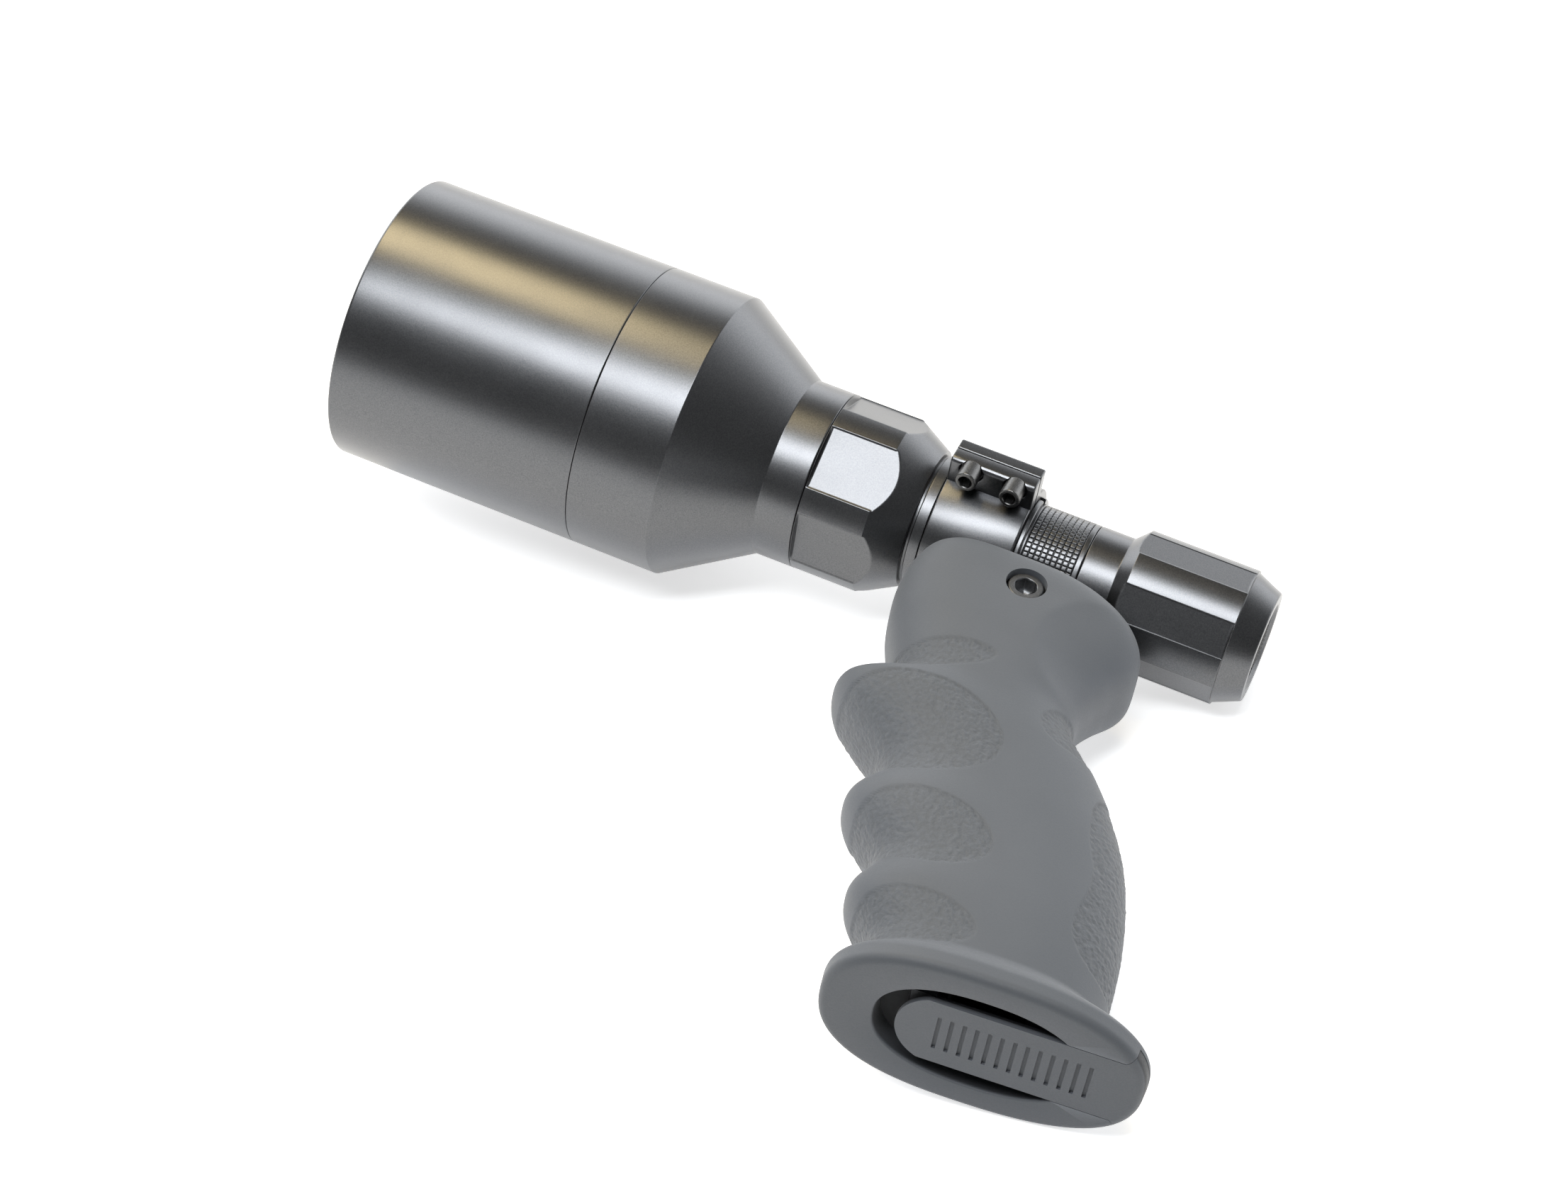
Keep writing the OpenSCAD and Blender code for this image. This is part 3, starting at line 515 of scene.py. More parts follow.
def make_battery_tube():
    cell = knurl_profile()
    columns = KNURL_ROWS * len(cell)
    angles = np.array([(k + at) * 2 * math.pi / KNURL_ROWS for k in range(KNURL_ROWS) for at, _ in cell])
    across = np.array([high for _ in range(KNURL_ROWS) for _, high in cell])
    pitch = (KNURL_FRONT_X - KNURL_REAR_X) / KNURL_COLUMNS
    band = [(KNURL_FRONT_X - (k + at) * pitch, high) for k in range(KNURL_COLUMNS) for at, high in cell]
    band.append((KNURL_REAR_X, 0.0))
    groove_r = TUBE_R - KNURL_DEPTH
    nose_r = TUBE_R - 0.4
    front = rounded([(FLATS_X - 10.7, TUBE_BORE_R), (FLATS_X - 10.7, nose_r, 0.1),
                     (COLLAR_X - 2.9, nose_r, 0.1), (COLLAR_X - 2.9, TUBE_R, 0.15),
                     (KNURL_FRONT_X + 0.2, TUBE_R, 0.2), (KNURL_FRONT_X, groove_r)],
                    closed=False, longest=2.0)
    seal_x = CAP_FRONT_X - 2.6
    rear = rounded([(KNURL_REAR_X, groove_r), (KNURL_REAR_X - 0.15, TUBE_R, 0.15),
                    (CAP_FRONT_X + 0.05, TUBE_R, 0.3), (CAP_FRONT_X + 0.05, TAIL_THREAD_R, 0.1),
                    (seal_x, TAIL_THREAD_R, 0.05), (seal_x, TAIL_THREAD_R - 0.7, 0.05),
                    (seal_x - 1.4, TAIL_THREAD_R - 0.7, 0.05), (seal_x - 1.4, TAIL_THREAD_R, 0.05),
                    (CAP_FRONT_X - 6.5, TAIL_THREAD_R, 0.1), (CAP_FRONT_X - 6.5, TUBE_BORE_R, 0.1)],
                   closed=False, longest=2.0)
    rows = [(x, np.full(columns, r)) for x, r in front[:-1]]
    rows += [(x, groove_r + KNURL_DEPTH * high * across) for x, high in band]
    rows += [(x, np.full(columns, r)) for x, r in rear[1:]]
    xs = np.repeat([[x] for x, _ in rows], columns, axis=1)
    points = around(xs, np.array([r for _, r in rows]), angles).reshape(-1, 3)
    faces = grid_faces(len(rows), columns, wrap_rows=True)
    piece("battery_tube_shell", points, faces, "frame", "anodised", "battery_tube")


SLEEVE_SLOT_ANGLE = 28.0
SLEEVE_SLOT_WIDTH = 2.2


def make_tube_sleeve():
    bore_r, skin_r, flange_r = TUBE_R + 0.02, TUBE_R + 0.7, TUBE_R + 1.3
    flange_x = RING_REAR_X - 0.05
    outline = rounded([
        (RING_FRONT_X, bore_r), (RING_FRONT_X, skin_r, 0.1), (flange_x, skin_r, 0.05),
        (flange_x, flange_r, 0.2), (RING_REAR_X - 1.2, flange_r, 0.35), (RING_REAR_X - 1.2, bore_r, 0.1),
    ], longest=3.0)
    columns = 241
    half_slot = SLEEVE_SLOT_WIDTH / 2 / TUBE_R
    start = math.radians(SLEEVE_SLOT_ANGLE) + half_slot
    angles = start + np.linspace(0, 2 * math.pi - 2 * half_slot, columns)
    rows = len(outline)
    faces = grid_faces(rows, columns, wrap_rows=True, wrap_columns=False)
    faces.append(tuple(i * columns for i in range(rows)))
    faces.append(tuple(i * columns + columns - 1 for i in range(rows - 1, -1, -1)))
    points = turned_points(outline, angles)
    piece("tube_sleeve_shell", points, faces, "frame", "anodised", "tube_sleeve")


BUTTON_TOP_R = 6.2
BUTTON_CROWN = 0.5
BUTTON_DOT_PITCH = 1.3
BUTTON_DOT_DEPTH = 0.4


def make_tail_button():
    top = [(TAIL_X + 0.35 + BUTTON_CROWN * t * t, BUTTON_TOP_R * t) for t in np.linspace(0, 1, 33)]
    side = rounded([(TAIL_X + 0.85, BUTTON_TOP_R), (TAIL_X + 1.5, 7.0, 0.5), (TAIL_X + 3.0, 7.6, 0.5),
                    (TAIL_X + 3.2, 9.1, 0.2), (TAIL_X + 4.6, 9.1, 0.1), (TAIL_X + 4.6, 10.4, 0.1),
                    (TAIL_X + 5.6, 10.4, 0.1), (TAIL_X + 5.6, 5.6, 0.1), (TAIL_X + 3.4, 5.6, 0.1),
                    (TAIL_X + 3.4, 0)], closed=False)
    outline = np.vstack([top, side[1:]])

    def dots(xs, radii, angles):
        wave = np.cos(2 * math.pi * radii * np.cos(angles) / BUTTON_DOT_PITCH)
        wave = wave * np.cos(2 * math.pi * radii * np.sin(angles) / BUTTON_DOT_PITCH)
        on_top = (radii < BUTTON_TOP_R - 0.1) & (xs < TAIL_X + 0.9)
        return xs - np.where(on_top, BUTTON_DOT_DEPTH * np.clip(wave, -0.3, 1), 0), radii

    points, faces = turned_solid(outline, circle_angles(192), dots)
    piece("tail_button_cap", points, faces, "button", "button_rubber", "tail_button")


LENS_SPHERE_R = 50.0


def make_front_lens():
    crown = HOOD_X - 1.2
    back = HOOD_X - 14.3
    rim = HOOD_BORE_R - 0.3
    dome = [(crown - LENS_SPHERE_R + math.sqrt(LENS_SPHERE_R ** 2 - r * r), r)
            for r in np.linspace(0, rim, 40)]
    outline = np.array(dome + [(dome[-1][0] - 0.1, rim), (back + 0.2, rim), (back, rim - 0.2),
                               (back, rim / 2), (back, 0)])
    points, faces = turned_solid(outline, circle_angles(192))
    piece("front_lens_glass", points, faces, "hood", "lens_glass", "front_lens")


LENS_RING_BORE_R = 28.2
NOTCH_HALF_W = 1.35
NOTCH_FLOOR = 2.5


def make_lens_ring():
    ring_x = HOOD_X - 9.6
    outline = rounded([(ring_x, LENS_RING_BORE_R), (ring_x, HOOD_BORE_R - 0.05, 0.1),
                       (ring_x + 4, HOOD_BORE_R - 0.05, 0.15), (ring_x + 4, 29, 0.15),
                       (ring_x + 3.2, LENS_RING_BORE_R, 0.15)], longest=0.8)

    def notches(xs, radii, angles):
        floor_x = ring_x + NOTCH_FLOOR
        near = np.clip((NOTCH_HALF_W - np.abs(radii * np.sin(angles))) / 0.25, 0, 1)
        return np.where(xs > floor_x, xs - near * (xs - floor_x), xs), radii

    turned("lens_ring_turned", outline, "hood", "anodised", "lens_ring", notches, circle_angles(720))


make_hood()
make_head_body()
make_neck_ring()
make_tail_cap()
make_battery_tube()
make_tube_sleeve()
make_tail_button()
make_front_lens()
make_lens_ring()


# ---- ring clamp ----
def inset_corners(corners, inset):
    """Moves the sides of a counterclockwise outline inward, with its corner radii to match."""
    points = np.array([corner[:2] for corner in corners], float)
    radii = np.array([corner[2] for corner in corners])
    ahead = np.roll(points, -1, axis=0) - points
    ahead /= np.linalg.norm(ahead, axis=1, keepdims=True)
    behind = np.roll(ahead, 1, axis=0)
    inward = np.stack([-ahead[:, 1] - behind[:, 1], ahead[:, 0] + behind[:, 0]], axis=1)
    miter = inward / (1 + np.sum(ahead * behind, axis=1, keepdims=True))
    outside = behind[:, 0] * ahead[:, 1] - behind[:, 1] * ahead[:, 0] > 0
    is_round = radii > 0
    radii = np.where(outside, np.maximum(radii - inset, 0.04 * is_round), radii + inset * is_round)
    return [(y, z, r) for (y, z), r in zip(points + miter * inset, radii)]


CLAMP_EDGE = 0.4


def clamp_half(corners):
    """Points and faces of an outline in (y, z), as long as the clamp, with rounded end edges."""
    quarter = np.linspace(0, math.pi / 2, 5)
    stations = [(x + way * CLAMP_EDGE * (1 - math.sin(a)), CLAMP_EDGE * (1 - math.cos(a)))
                for x, way, turns in ((RING_FRONT_X, -1, quarter[::-1]), (RING_REAR_X, 1, quarter))
                for a in turns]
    points = [(x, y, z) for x, inset in stations for y, z in rounded(inset_corners(corners, inset))]
    return np.array(points), closed_faces(len(stations), len(points) // len(stations))


def arc_points(radius, start, end, count):
    return [(radius * math.cos(a), radius * math.sin(a), 0)
            for a in np.linspace(math.radians(start), math.radians(end), count)]


def split_angle(radius, height):
    return math.degrees(math.asin(height / radius))


def make_ring_cap():
    low = SPLIT_Z + 0.25
    inner = split_angle(RING_BORE_R, low)
    outer = split_angle(RING_R, EAR_TOP_Z)
    corners = [(EAR_Y, low, 0.5), (EAR_Y, EAR_TOP_Z, 0.9)]
    corners += arc_points(RING_R, outer, 180 - outer, 73)
    corners += [(-EAR_Y, EAR_TOP_Z, 0.9), (-EAR_Y, low, 0.5)]
    corners += arc_points(RING_BORE_R, 180 - inner, inner, 65)
    points, faces = clamp_half(corners)
    piece("ring_cap_half", points, faces, "frame", "anodised", "ring_cap")


RAIL_FRONT_X = -86.4
RAIL_BACK_X = -113.0
RAIL_OUTLINE = [(8.2, -13.45), (-8.2, -13.45), (-8.2, -18.2), (-10.6, -20.8), (-10.6, -22.6), (-8, -25.4),
                (8, -25.4), (10.6, -22.6), (10.6, -20.8), (8.2, -18.2)]


def apply_modifiers(obj):
    """Bakes an object's modifiers into its mesh."""
    graph = bpy.context.evaluated_depsgraph_get()
    mesh = bpy.data.meshes.new_from_object(obj.evaluated_get(graph))
    obj.modifiers.clear()
    obj.data = mesh


def loose_solid(points, faces):
    """A mesh object in millimetres, used only to cut or to join."""
    obj = bpy.data.objects.new("tool", outward_mesh("tool", points, faces))
    bpy.context.scene.collection.objects.link(obj)
    return obj


def combine(target, solid, operation):
    """Joins a solid, given as points and faces, to the target, or cuts the target with it."""
    tool = loose_solid(*solid)
    modifier = target.modifiers.new("combine", "BOOLEAN")
    modifier.operation = operation
    modifier.object = tool
    modifier.solver = "EXACT"
    apply_modifiers(target)
    bpy.data.objects.remove(tool)


def round_bar(start, direction, length, radius, sides):
    """A closed cylinder from start, along direction."""
    along = np.array(direction, float)
    across = np.cross(along, (0.0, 0.3, 1.0) if abs(along[2]) < 0.9 else (1.0, 0.0, 0.0))
    across /= np.linalg.norm(across)
    third = np.cross(along, across)
    points = [np.array(start) + along * reach + radius * (across * math.cos(a) + third * math.sin(a))
              for reach in (0.0, length) for a in circle_angles(sides)]
    return points, closed_faces(2, sides)


def softened(obj, width):
    """Rounds the sharp edges of a working solid."""
    modifier = obj.modifiers.new("soft_edges", "BEVEL")
    modifier.width = width
    modifier.segments = 2
    modifier.limit_method = "ANGLE"
    modifier.angle_limit = math.radians(40)
    modifier.use_clamp_overlap = True
    apply_modifiers(obj)


def piece_from_tool(name, tool, body, slot, node, crisp=32):
    """Turns a working solid, drawn in millimetres, into a finished piece."""
    mesh = tool.data
    points = np.array([vertex.co for vertex in mesh.vertices])
    faces = [tuple(polygon.vertices) for polygon in mesh.polygons]
    bpy.data.objects.remove(tool)
    return piece(name, points, faces, body, slot, node, crisp=crisp)


SEAT_R = 2.6
SEAT_FLARE = 0.45


def flared_seat(x, y):
    """The screw's seat in an ear: a shallow bore whose mouth opens in a rounded flare."""
    profile = [(EAR_BOTTOM_Z + 1, SEAT_R)]
    profile += [(EAR_BOTTOM_Z + 0.8 * (1 - math.sin(a)), SEAT_R + SEAT_FLARE * (1 - math.cos(a)))
                for a in np.linspace(0, math.pi / 2, 9)]
    profile.append((EAR_BOTTOM_Z - 4, SEAT_R + SEAT_FLARE + 0.1))
    angles = circle_angles(72)
    points = [(x + r * math.cos(a), y + r * math.sin(a), z) for z, r in profile for a in angles]
    return points, closed_faces(len(profile), len(angles))


def make_ring_base():
    inner = split_angle(RING_BORE_R, SPLIT_Z)
    outer = split_angle(RING_R, EAR_BOTTOM_Z)
    corners = [(EAR_Y, EAR_BOTTOM_Z, 1.3), (EAR_Y, SPLIT_Z, 0.35)]
    corners += arc_points(RING_BORE_R, inner, -180 - inner, 65)
    corners += [(-EAR_Y, SPLIT_Z, 0.35), (-EAR_Y, EAR_BOTTOM_Z, 1.3)]
    corners += arc_points(RING_R, 180 - outer, 360 + outer, 73)
    base = loose_solid(*clamp_half(corners))
    rail = [(x, y, z) for x in (RAIL_FRONT_X, RAIL_BACK_X) for y, z in RAIL_OUTLINE]
    combine(base, (rail, closed_faces(2, len(RAIL_OUTLINE))), "UNION")
    for x in SCREW_XS:
        for y in (-SCREW_Y, SCREW_Y):
            combine(base, flared_seat(x, y), "DIFFERENCE")
            hole = round_bar((x, y, SPLIT_Z + 1), (0, 0, -1), length=6, radius=1.6, sides=32)
            combine(base, hole, "DIFFERENCE")
    piece_from_tool("ring_base_half", base, "frame", "anodised", "ring_base")


def socket_screw(place, towards, head_r, head_h, shank_r, shank_length, apothem, depth,
                 socket_turn=0.0, columns=72):
    """A socket-head screw whose head starts at place and stands out along towards."""
    corners = [(-shank_length, 0), (-shank_length, shank_r, 0.2), (0, shank_r, 0.1), (0, head_r, 0.12),
               (head_h, head_r, 0.35), (head_h, apothem * 1.2, 0.12), (head_h - 0.35, apothem * 1.02, 0.0),
               (head_h - depth, apothem, 0.0), (head_h - depth - 0.5, 0)]

    def socket(heights, radii, angles):
        offset = (angles[-2:] + socket_turn) % (math.pi / 3) - math.pi / 6
        radii[-2:] = apothem / np.cos(offset)
        return heights, radii

    local, faces = turned_solid(rounded(corners, closed=False), circle_angles(columns), socket)
    across = (1.0, 0.0, 0.0)
    axes = np.array([towards, across, np.cross(towards, across)])
    return np.array(place) + local @ axes, faces


def make_ring_screws():
    points, faces = [], []
    for x in SCREW_XS:
        for y in (-SCREW_Y, SCREW_Y):
            part, part_faces = socket_screw(
                (x, y, EAR_BOTTOM_Z + 1), (0, 0, -1), head_r=2.45, head_h=4.9, shank_r=1.2,
                shank_length=6.4, apothem=1.35, depth=2.4)
            faces += [tuple(i + len(points) for i in face) for face in part_faces]
            points += list(part)
    piece("ring_screw_set", np.array(points), faces, "frame", "black_steel", "ring_screws")


def make_grip_bolt():
    points, faces = socket_screw(
        (BOLT_X, 12.8, BOLT_Z), (0, 1, 0), head_r=3.95, head_h=3.5, shank_r=2.45, shank_length=28.8,
        apothem=2.15, depth=2.6, socket_turn=math.radians(11), columns=120)
    piece("grip_bolt_turned", points, faces, "frame", "black_steel", "grip_bolt", MATERIALS["bolt_steel"])


make_ring_cap()
make_ring_base()
make_ring_screws()
make_grip_bolt()


# ---- grip ----
GRIP_HALF_W = 17.2
GRIP_TOP_Z = -16.6
RUBBER_T = 2.2
FOOT_Z = -135.7
FOOT_MID_X = -137.0
FOOT_SLOPE = 0.092
FOOT_FLOOR = 4.8
# Height, front, back, how far inside GRIP_HALF_W and corner sharpness, as the part has them
GRIP_STATIONS = [
    (-16.6, -83.4, -114.5, 1.6, 3.9),
    (-17.4, -81.2, -119.6, 0.8, 3.9),
    (-19.0, -79.4, -125.0, 0.3, 3.9),
    (-22.0, -78.2, -130.2, 0.0, 3.8),
    (-26.0, -77.5, -133.4, 0.0, 3.6),
    (-31.0, -77.6, -133.8, 0.0, 3.2),
    (-37.0, -79.0, -131.2, 0.2, 2.9),
    (-42.0, -81.0, -129.0, 0.6, 2.7),
    (-47.5, -83.4, -127.2, 1.0, 2.6),
    (-52.5, -85.3, -127.3, 1.2, 2.5),
    (-57.5, -86.6, -130.8, 1.4, 2.5),
    (-64.0, -88.4, -137.2, 1.4, 2.5),
    (-72.0, -90.8, -143.4, 1.5, 2.5),
    (-82.0, -94.2, -149.2, 1.6, 2.5),
    (-95.0, -98.8, -153.8, 1.8, 2.5),
    (-110.0, -104.0, -157.0, 2.0, 2.5),
    (-126.0, -109.2, -158.6, 2.2, 2.5),
    (FOOT_Z, -111.3, -158.8, 2.2, 2.5),
]
# Finger ridges: height of the crest, how far it stands out, reach upward and downward
FINGER_RIDGES = [(-61.6, 11.7, 8.0, 18.5), (-89.6, 6.8, 9.8, 13.0), (-111.2, 4.6, 8.6, 11.4)]
FLARE_TOP_Z = -124.5
FLARE_FRONT = 7.0
FLARE_BACK = 11.6
FLARE_SIDE = 4.3
FLARE_ROUND = 1.8
FLARE_LEVELS = [FOOT_Z + FLARE_ROUND * (1 - math.sin(a)) for a in np.linspace(0, math.pi / 2, 9)]
FINE_ANGLES = circle_angles(1440)


def ease(t):
    t = np.clip(t, 0, 1)
    return t * t * (3 - 2 * t)


def station_values(z):
    """The four station columns at height z, by Catmull-Rom interpolation."""
    table = np.array(GRIP_STATIONS)
    last = len(table) - 1
    i = next((k for k in range(last) if z >= table[k + 1, 0]), last - 1)
    p0, p1, p2, p3 = (table[min(max(k, 0), last)] for k in (i - 1, i, i + 1, i + 2))
    span = p2[0] - p1[0]
    t = min(max((z - p1[0]) / span, 0), 1)
    m1 = (p2 - p0) / (p2[0] - p0[0]) * span
    m2 = (p3 - p1) / (p3[0] - p1[0]) * span
    return (p1 * (2 * t ** 3 - 3 * t ** 2 + 1) + m1 * (t ** 3 - 2 * t ** 2 + t)
            + p2 * (3 * t ** 2 - 2 * t ** 3) + m2 * (t ** 3 - t ** 2))[1:]


def ridge_height(z):
    heights = [0.0]
    for crest, rise, above, below in FINGER_RIDGES:
        u = (z - crest) / above if z > crest else (crest - z) / below
        if u < 1:
            heights.append(rise * (1 + math.cos(math.pi * u)) / 2)
    return max(heights)


def signed_power(value, power):
    return np.sign(value) * np.abs(value) ** power


def grip_section(z, inset, full):
    """One section of the grip: inset shrinks it, full adds the ridges and the flare."""
    front, back, narrower, sharpness = station_values(z)
    front, back, half_w = front - inset, back + inset, GRIP_HALF_W - narrower - inset
    flare, under, ridge = 0.0, 0.0, 0.0
    if full:
        flare = float(ease((FLARE_TOP_Z - z) / (FLARE_TOP_Z - FOOT_Z) / 0.65))
        low = min(max((FLARE_ROUND - (z - FOOT_Z)) / FLARE_ROUND, 0), 1)
        under = FLARE_ROUND * (1 - math.sqrt(1 - low * low))
        ridge = ridge_height(z)
    c, s = np.cos(FINE_ANGLES), np.sin(FINE_ANGLES)
    turn = np.degrees(np.minimum(FINE_ANGLES, 2 * math.pi - FINE_ANGLES))
    fade = ease((100 - turn) / 80)
    grow = np.where(c > 0, FLARE_FRONT, FLARE_BACK)
    x = (front + back) / 2 + ((front - back) / 2 + flare * grow - under) * signed_power(c, 2 / sharpness)
    x = x + ridge * fade * c
    y = (half_w + flare * FLARE_SIDE - under) * signed_power(s, 2 / sharpness) + 0.3 * ridge * fade * s
    tilt = FOOT_SLOPE * float(ease((z + 60) / (FOOT_Z + 60)))
    return np.stack([x, y, z - tilt * (x - FOOT_MID_X)], axis=-1)


RECESS_FRONT_X = -115.4
RECESS_BACK_X = -158.0
RECESS_HALF_W = 12.9
RECESS_SHARPNESS = 2.3


def foot_plane_z(x):
    return FOOT_Z - FOOT_SLOPE * (x - FOOT_MID_X)


def recess_ring(lift, grow):
    """The outline of the recess in the foot, lifted off its flat face and grown sideways."""
    power = 2 / RECESS_SHARPNESS
    reach = (RECESS_FRONT_X - RECESS_BACK_X) / 2 + grow
    x = (RECESS_FRONT_X + RECESS_BACK_X) / 2 + reach * signed_power(np.cos(FINE_ANGLES), power)
    y = (RECESS_HALF_W + grow) * signed_power(np.sin(FINE_ANGLES), power)
    return np.stack([x, y, foot_plane_z(x) + lift], axis=-1)


GRIP_COLUMNS = 480
GRIP_ROW = 0.32


def even_section(curve, columns):
    """Respaces a closed section evenly along each half, from the front to the back."""
    half = len(curve) // 2
    halves = []
    for side in (curve[:half + 1], np.vstack([curve[half:], curve[:1]])):
        steps = np.linalg.norm(np.diff(side, axis=0), axis=1)
        reach = np.concatenate([[0], np.cumsum(steps)])
        wanted = np.linspace(0, reach[-1], columns // 2 + 1)[:-1]
        halves.append(np.stack([np.interp(wanted, reach, side[:, k]) for k in range(3)], axis=1))
    return np.vstack(halves)


def side_patch(points, centre, reach, tilt, width):
    """How far inside a tilted ellipse on the grip's side each point is: 0 outside, 1 inside."""
    dx = points[..., 0] - centre[0]
    dz = points[..., 2] - centre[1]
    c, s = math.cos(math.radians(tilt)), math.sin(math.radians(tilt))
    u = (dx * c + dz * s) / reach[0]
    v = (-dx * s + dz * c) / reach[1]
    inside = (1 - np.sqrt(u * u + v * v)) * min(reach)
    return ease(inside / width + 0.5)


# Stippled patches on both sides: centre (x, z), reach and tilt in the side view
FINGER_PATCHES = [
    ((-97.0, -72.3), (19.0, 12.2), 5),
    ((-109.0, -98.6), (14.8, 8.8), 6),
    ((-115.8, -121.0), (12.6, 6.2), 3),
    ((-92.5, -52.6), (14.0, 4.2), -18),
]
WEB_PATCH = ((-130.5, -57.2), (10.3, 7.2), -18)
BORDER_WIDTH = 0.32
PATCH_DEPTH = 0.28
STIPPLE_DEPTH = 0.15
STIPPLE_PITCH = 0.8
DISH_CENTRE = (-125.2, -36.4)
DISH_R = 14.0
DISH_DEPTH = 1.6
DISH_SOFTNESS = 0.06
# Front border of the patch down the back: height and place
BACK_BORDER = [(-66, -146.0), (-70, -140.6), (-73, -138.7), (-77, -138.4), (-84, -140.0),
               (-88, -141.8), (-92.5, -144.1), (-100, -145.0), (-106, -144.3), (-111, -145.5),
               (-115, -148.6), (-118, -155.0), (-120, -164.0)]


def backstrap_patch(points, width):
    """The patch down the back of the grip, inside a wavy front border."""
    heights, places = np.array(BACK_BORDER)[::-1].T
    fine = np.linspace(heights[0], heights[-1], 400)
    line = np.interp(fine, heights, places)
    smooth = np.convolve(np.pad(line, 12, mode="edge"), np.ones(25) / 25, mode="valid")
    border = np.interp(points[..., 2], fine, smooth, left=-200, right=-200)
    return ease((border - points[..., 0]) / width + 0.5)


def patch_share(points, width):
    share = backstrap_patch(points, width)
    for centre, reach, tilt in FINGER_PATCHES + [WEB_PATCH]:
        share = np.maximum(share, side_patch(points, centre, reach, tilt, width))
    return share


def stipple_heights(points, share):
    """Small irregular pits and ridges, only where the patches are."""
    heights = np.zeros(len(points))
    for k in np.nonzero(share > 0.02)[0]:
        place = Vector(points[k]) / STIPPLE_PITCH
        heights[k] = noise.noise(place) + 0.5 * noise.noise(place * 2.1)
    return heights


def grip_levels():
    """Heights of the outer rows: close together where the top and the foot are rounded."""
    top = [GRIP_TOP_Z - 0.12 * k for k in range(20)]
    middle = np.linspace(top[-1], FLARE_LEVELS[0], int((top[-1] - FLARE_LEVELS[0]) / GRIP_ROW))
    return top + list(middle[1:-1]) + FLARE_LEVELS


def grip_rows(levels, columns=GRIP_COLUMNS, inset=0, full=True):
    return np.array([even_section(grip_section(z, inset, full), columns) for z in levels])


def sink_details(rows):
    """Presses the patches, their stipple and the thumb dish into the outer skin."""
    count, columns, _ = rows.shape
    points = rows.reshape(-1, 3)
    along = np.roll(rows, -1, axis=1) - np.roll(rows, 1, axis=1)
    down = np.gradient(rows, axis=0)
    outward = np.cross(down, along)
    outward /= np.maximum(np.linalg.norm(outward, axis=2, keepdims=True), 1e-9)
    outward = outward.reshape(-1, 3)
    if np.sum(outward[:, 1] * points[:, 1]) < 0:
        outward = -outward
    share = patch_share(points, BORDER_WIDTH)
    far = np.hypot(points[:, 0] - DISH_CENTRE[0], points[:, 2] - DISH_CENTRE[1]) / DISH_R
    bowl = DISH_SOFTNESS * np.log1p(np.exp((1 - far * far) / DISH_SOFTNESS))
    stipple = STIPPLE_DEPTH * share * stipple_heights(points, share)
    depth = PATCH_DEPTH * share + DISH_DEPTH * bowl - stipple
    moved = points - outward * depth[:, None]
    return moved.reshape(count, columns, 3), share


def in_foot_frame(points):
    """Carries points from the frame of the foot's flat face into the working frame."""
    points = np.asarray(points, float)
    angle = math.atan(FOOT_SLOPE)
    c, s = math.cos(angle), math.sin(angle)
    x = points[:, 0] * c + points[:, 2] * s + FOOT_MID_X
    z = -points[:, 0] * s + points[:, 2] * c + FOOT_Z
    return np.stack([x, points[:, 1], z], axis=1)


# Strength of the painted shade on the foot's flat face
PAINTED_FOOT_SHADE = 0.36
# The cover, in the frame of the foot's flat face
COVER_NOSE_X = 17.0
COVER_HALF_W = 8.8
COVER_NOSE_R = 9.7
COVER_TAIL_X = -28.6
COVER_T = 3.0
COVER_RIM_T = 1.1
COVER_UNDERCUT = 1.5
COVER_BLOCK_X = -14.0     # from here to the tail the cover is full width
NOSE_POINTS = 33


def cover_outline(grow):
    half_w = COVER_HALF_W + grow
    nose_r = COVER_NOSE_R + grow
    reach = math.asin(half_w / nose_r)
    nose = [(COVER_NOSE_X - COVER_NOSE_R + nose_r * math.cos(a), nose_r * math.sin(a))
            for a in np.linspace(-reach, reach, NOSE_POINTS)]
    return nose + [(COVER_TAIL_X, half_w), (COVER_TAIL_X - 8, half_w + 8),
                   (COVER_TAIL_X - 8, -half_w - 8), (COVER_TAIL_X, -half_w)]


def foot_prism(outline, low, high):
    """Points and faces of a prism that stands on the foot's flat face."""
    points = [(x, y, level) for level in (low, high) for x, y in outline]
    return in_foot_frame(points), closed_faces(2, len(outline))


def rectangle(x_rear, x_front, half_w):
    return [(x_rear, -half_w), (x_front, -half_w), (x_front, half_w), (x_rear, half_w)]


def set_attribute(mesh, name, values):
    attribute = mesh.attributes.new(name, "FLOAT", "POINT")
    attribute.data.foreach_set("value", np.asarray(values, np.float32))


def painted_foot_shade(points):
    """Painted shade: the rubber's colour darkens toward its foot, and darker again on the foot's flat face."""
    height = points[:, 2] - foot_plane_z(points[:, 0])
    return 0.12 * ease((55 - height) / 50) + PAINTED_FOOT_SHADE * ease((2.2 - height) / 2.2)


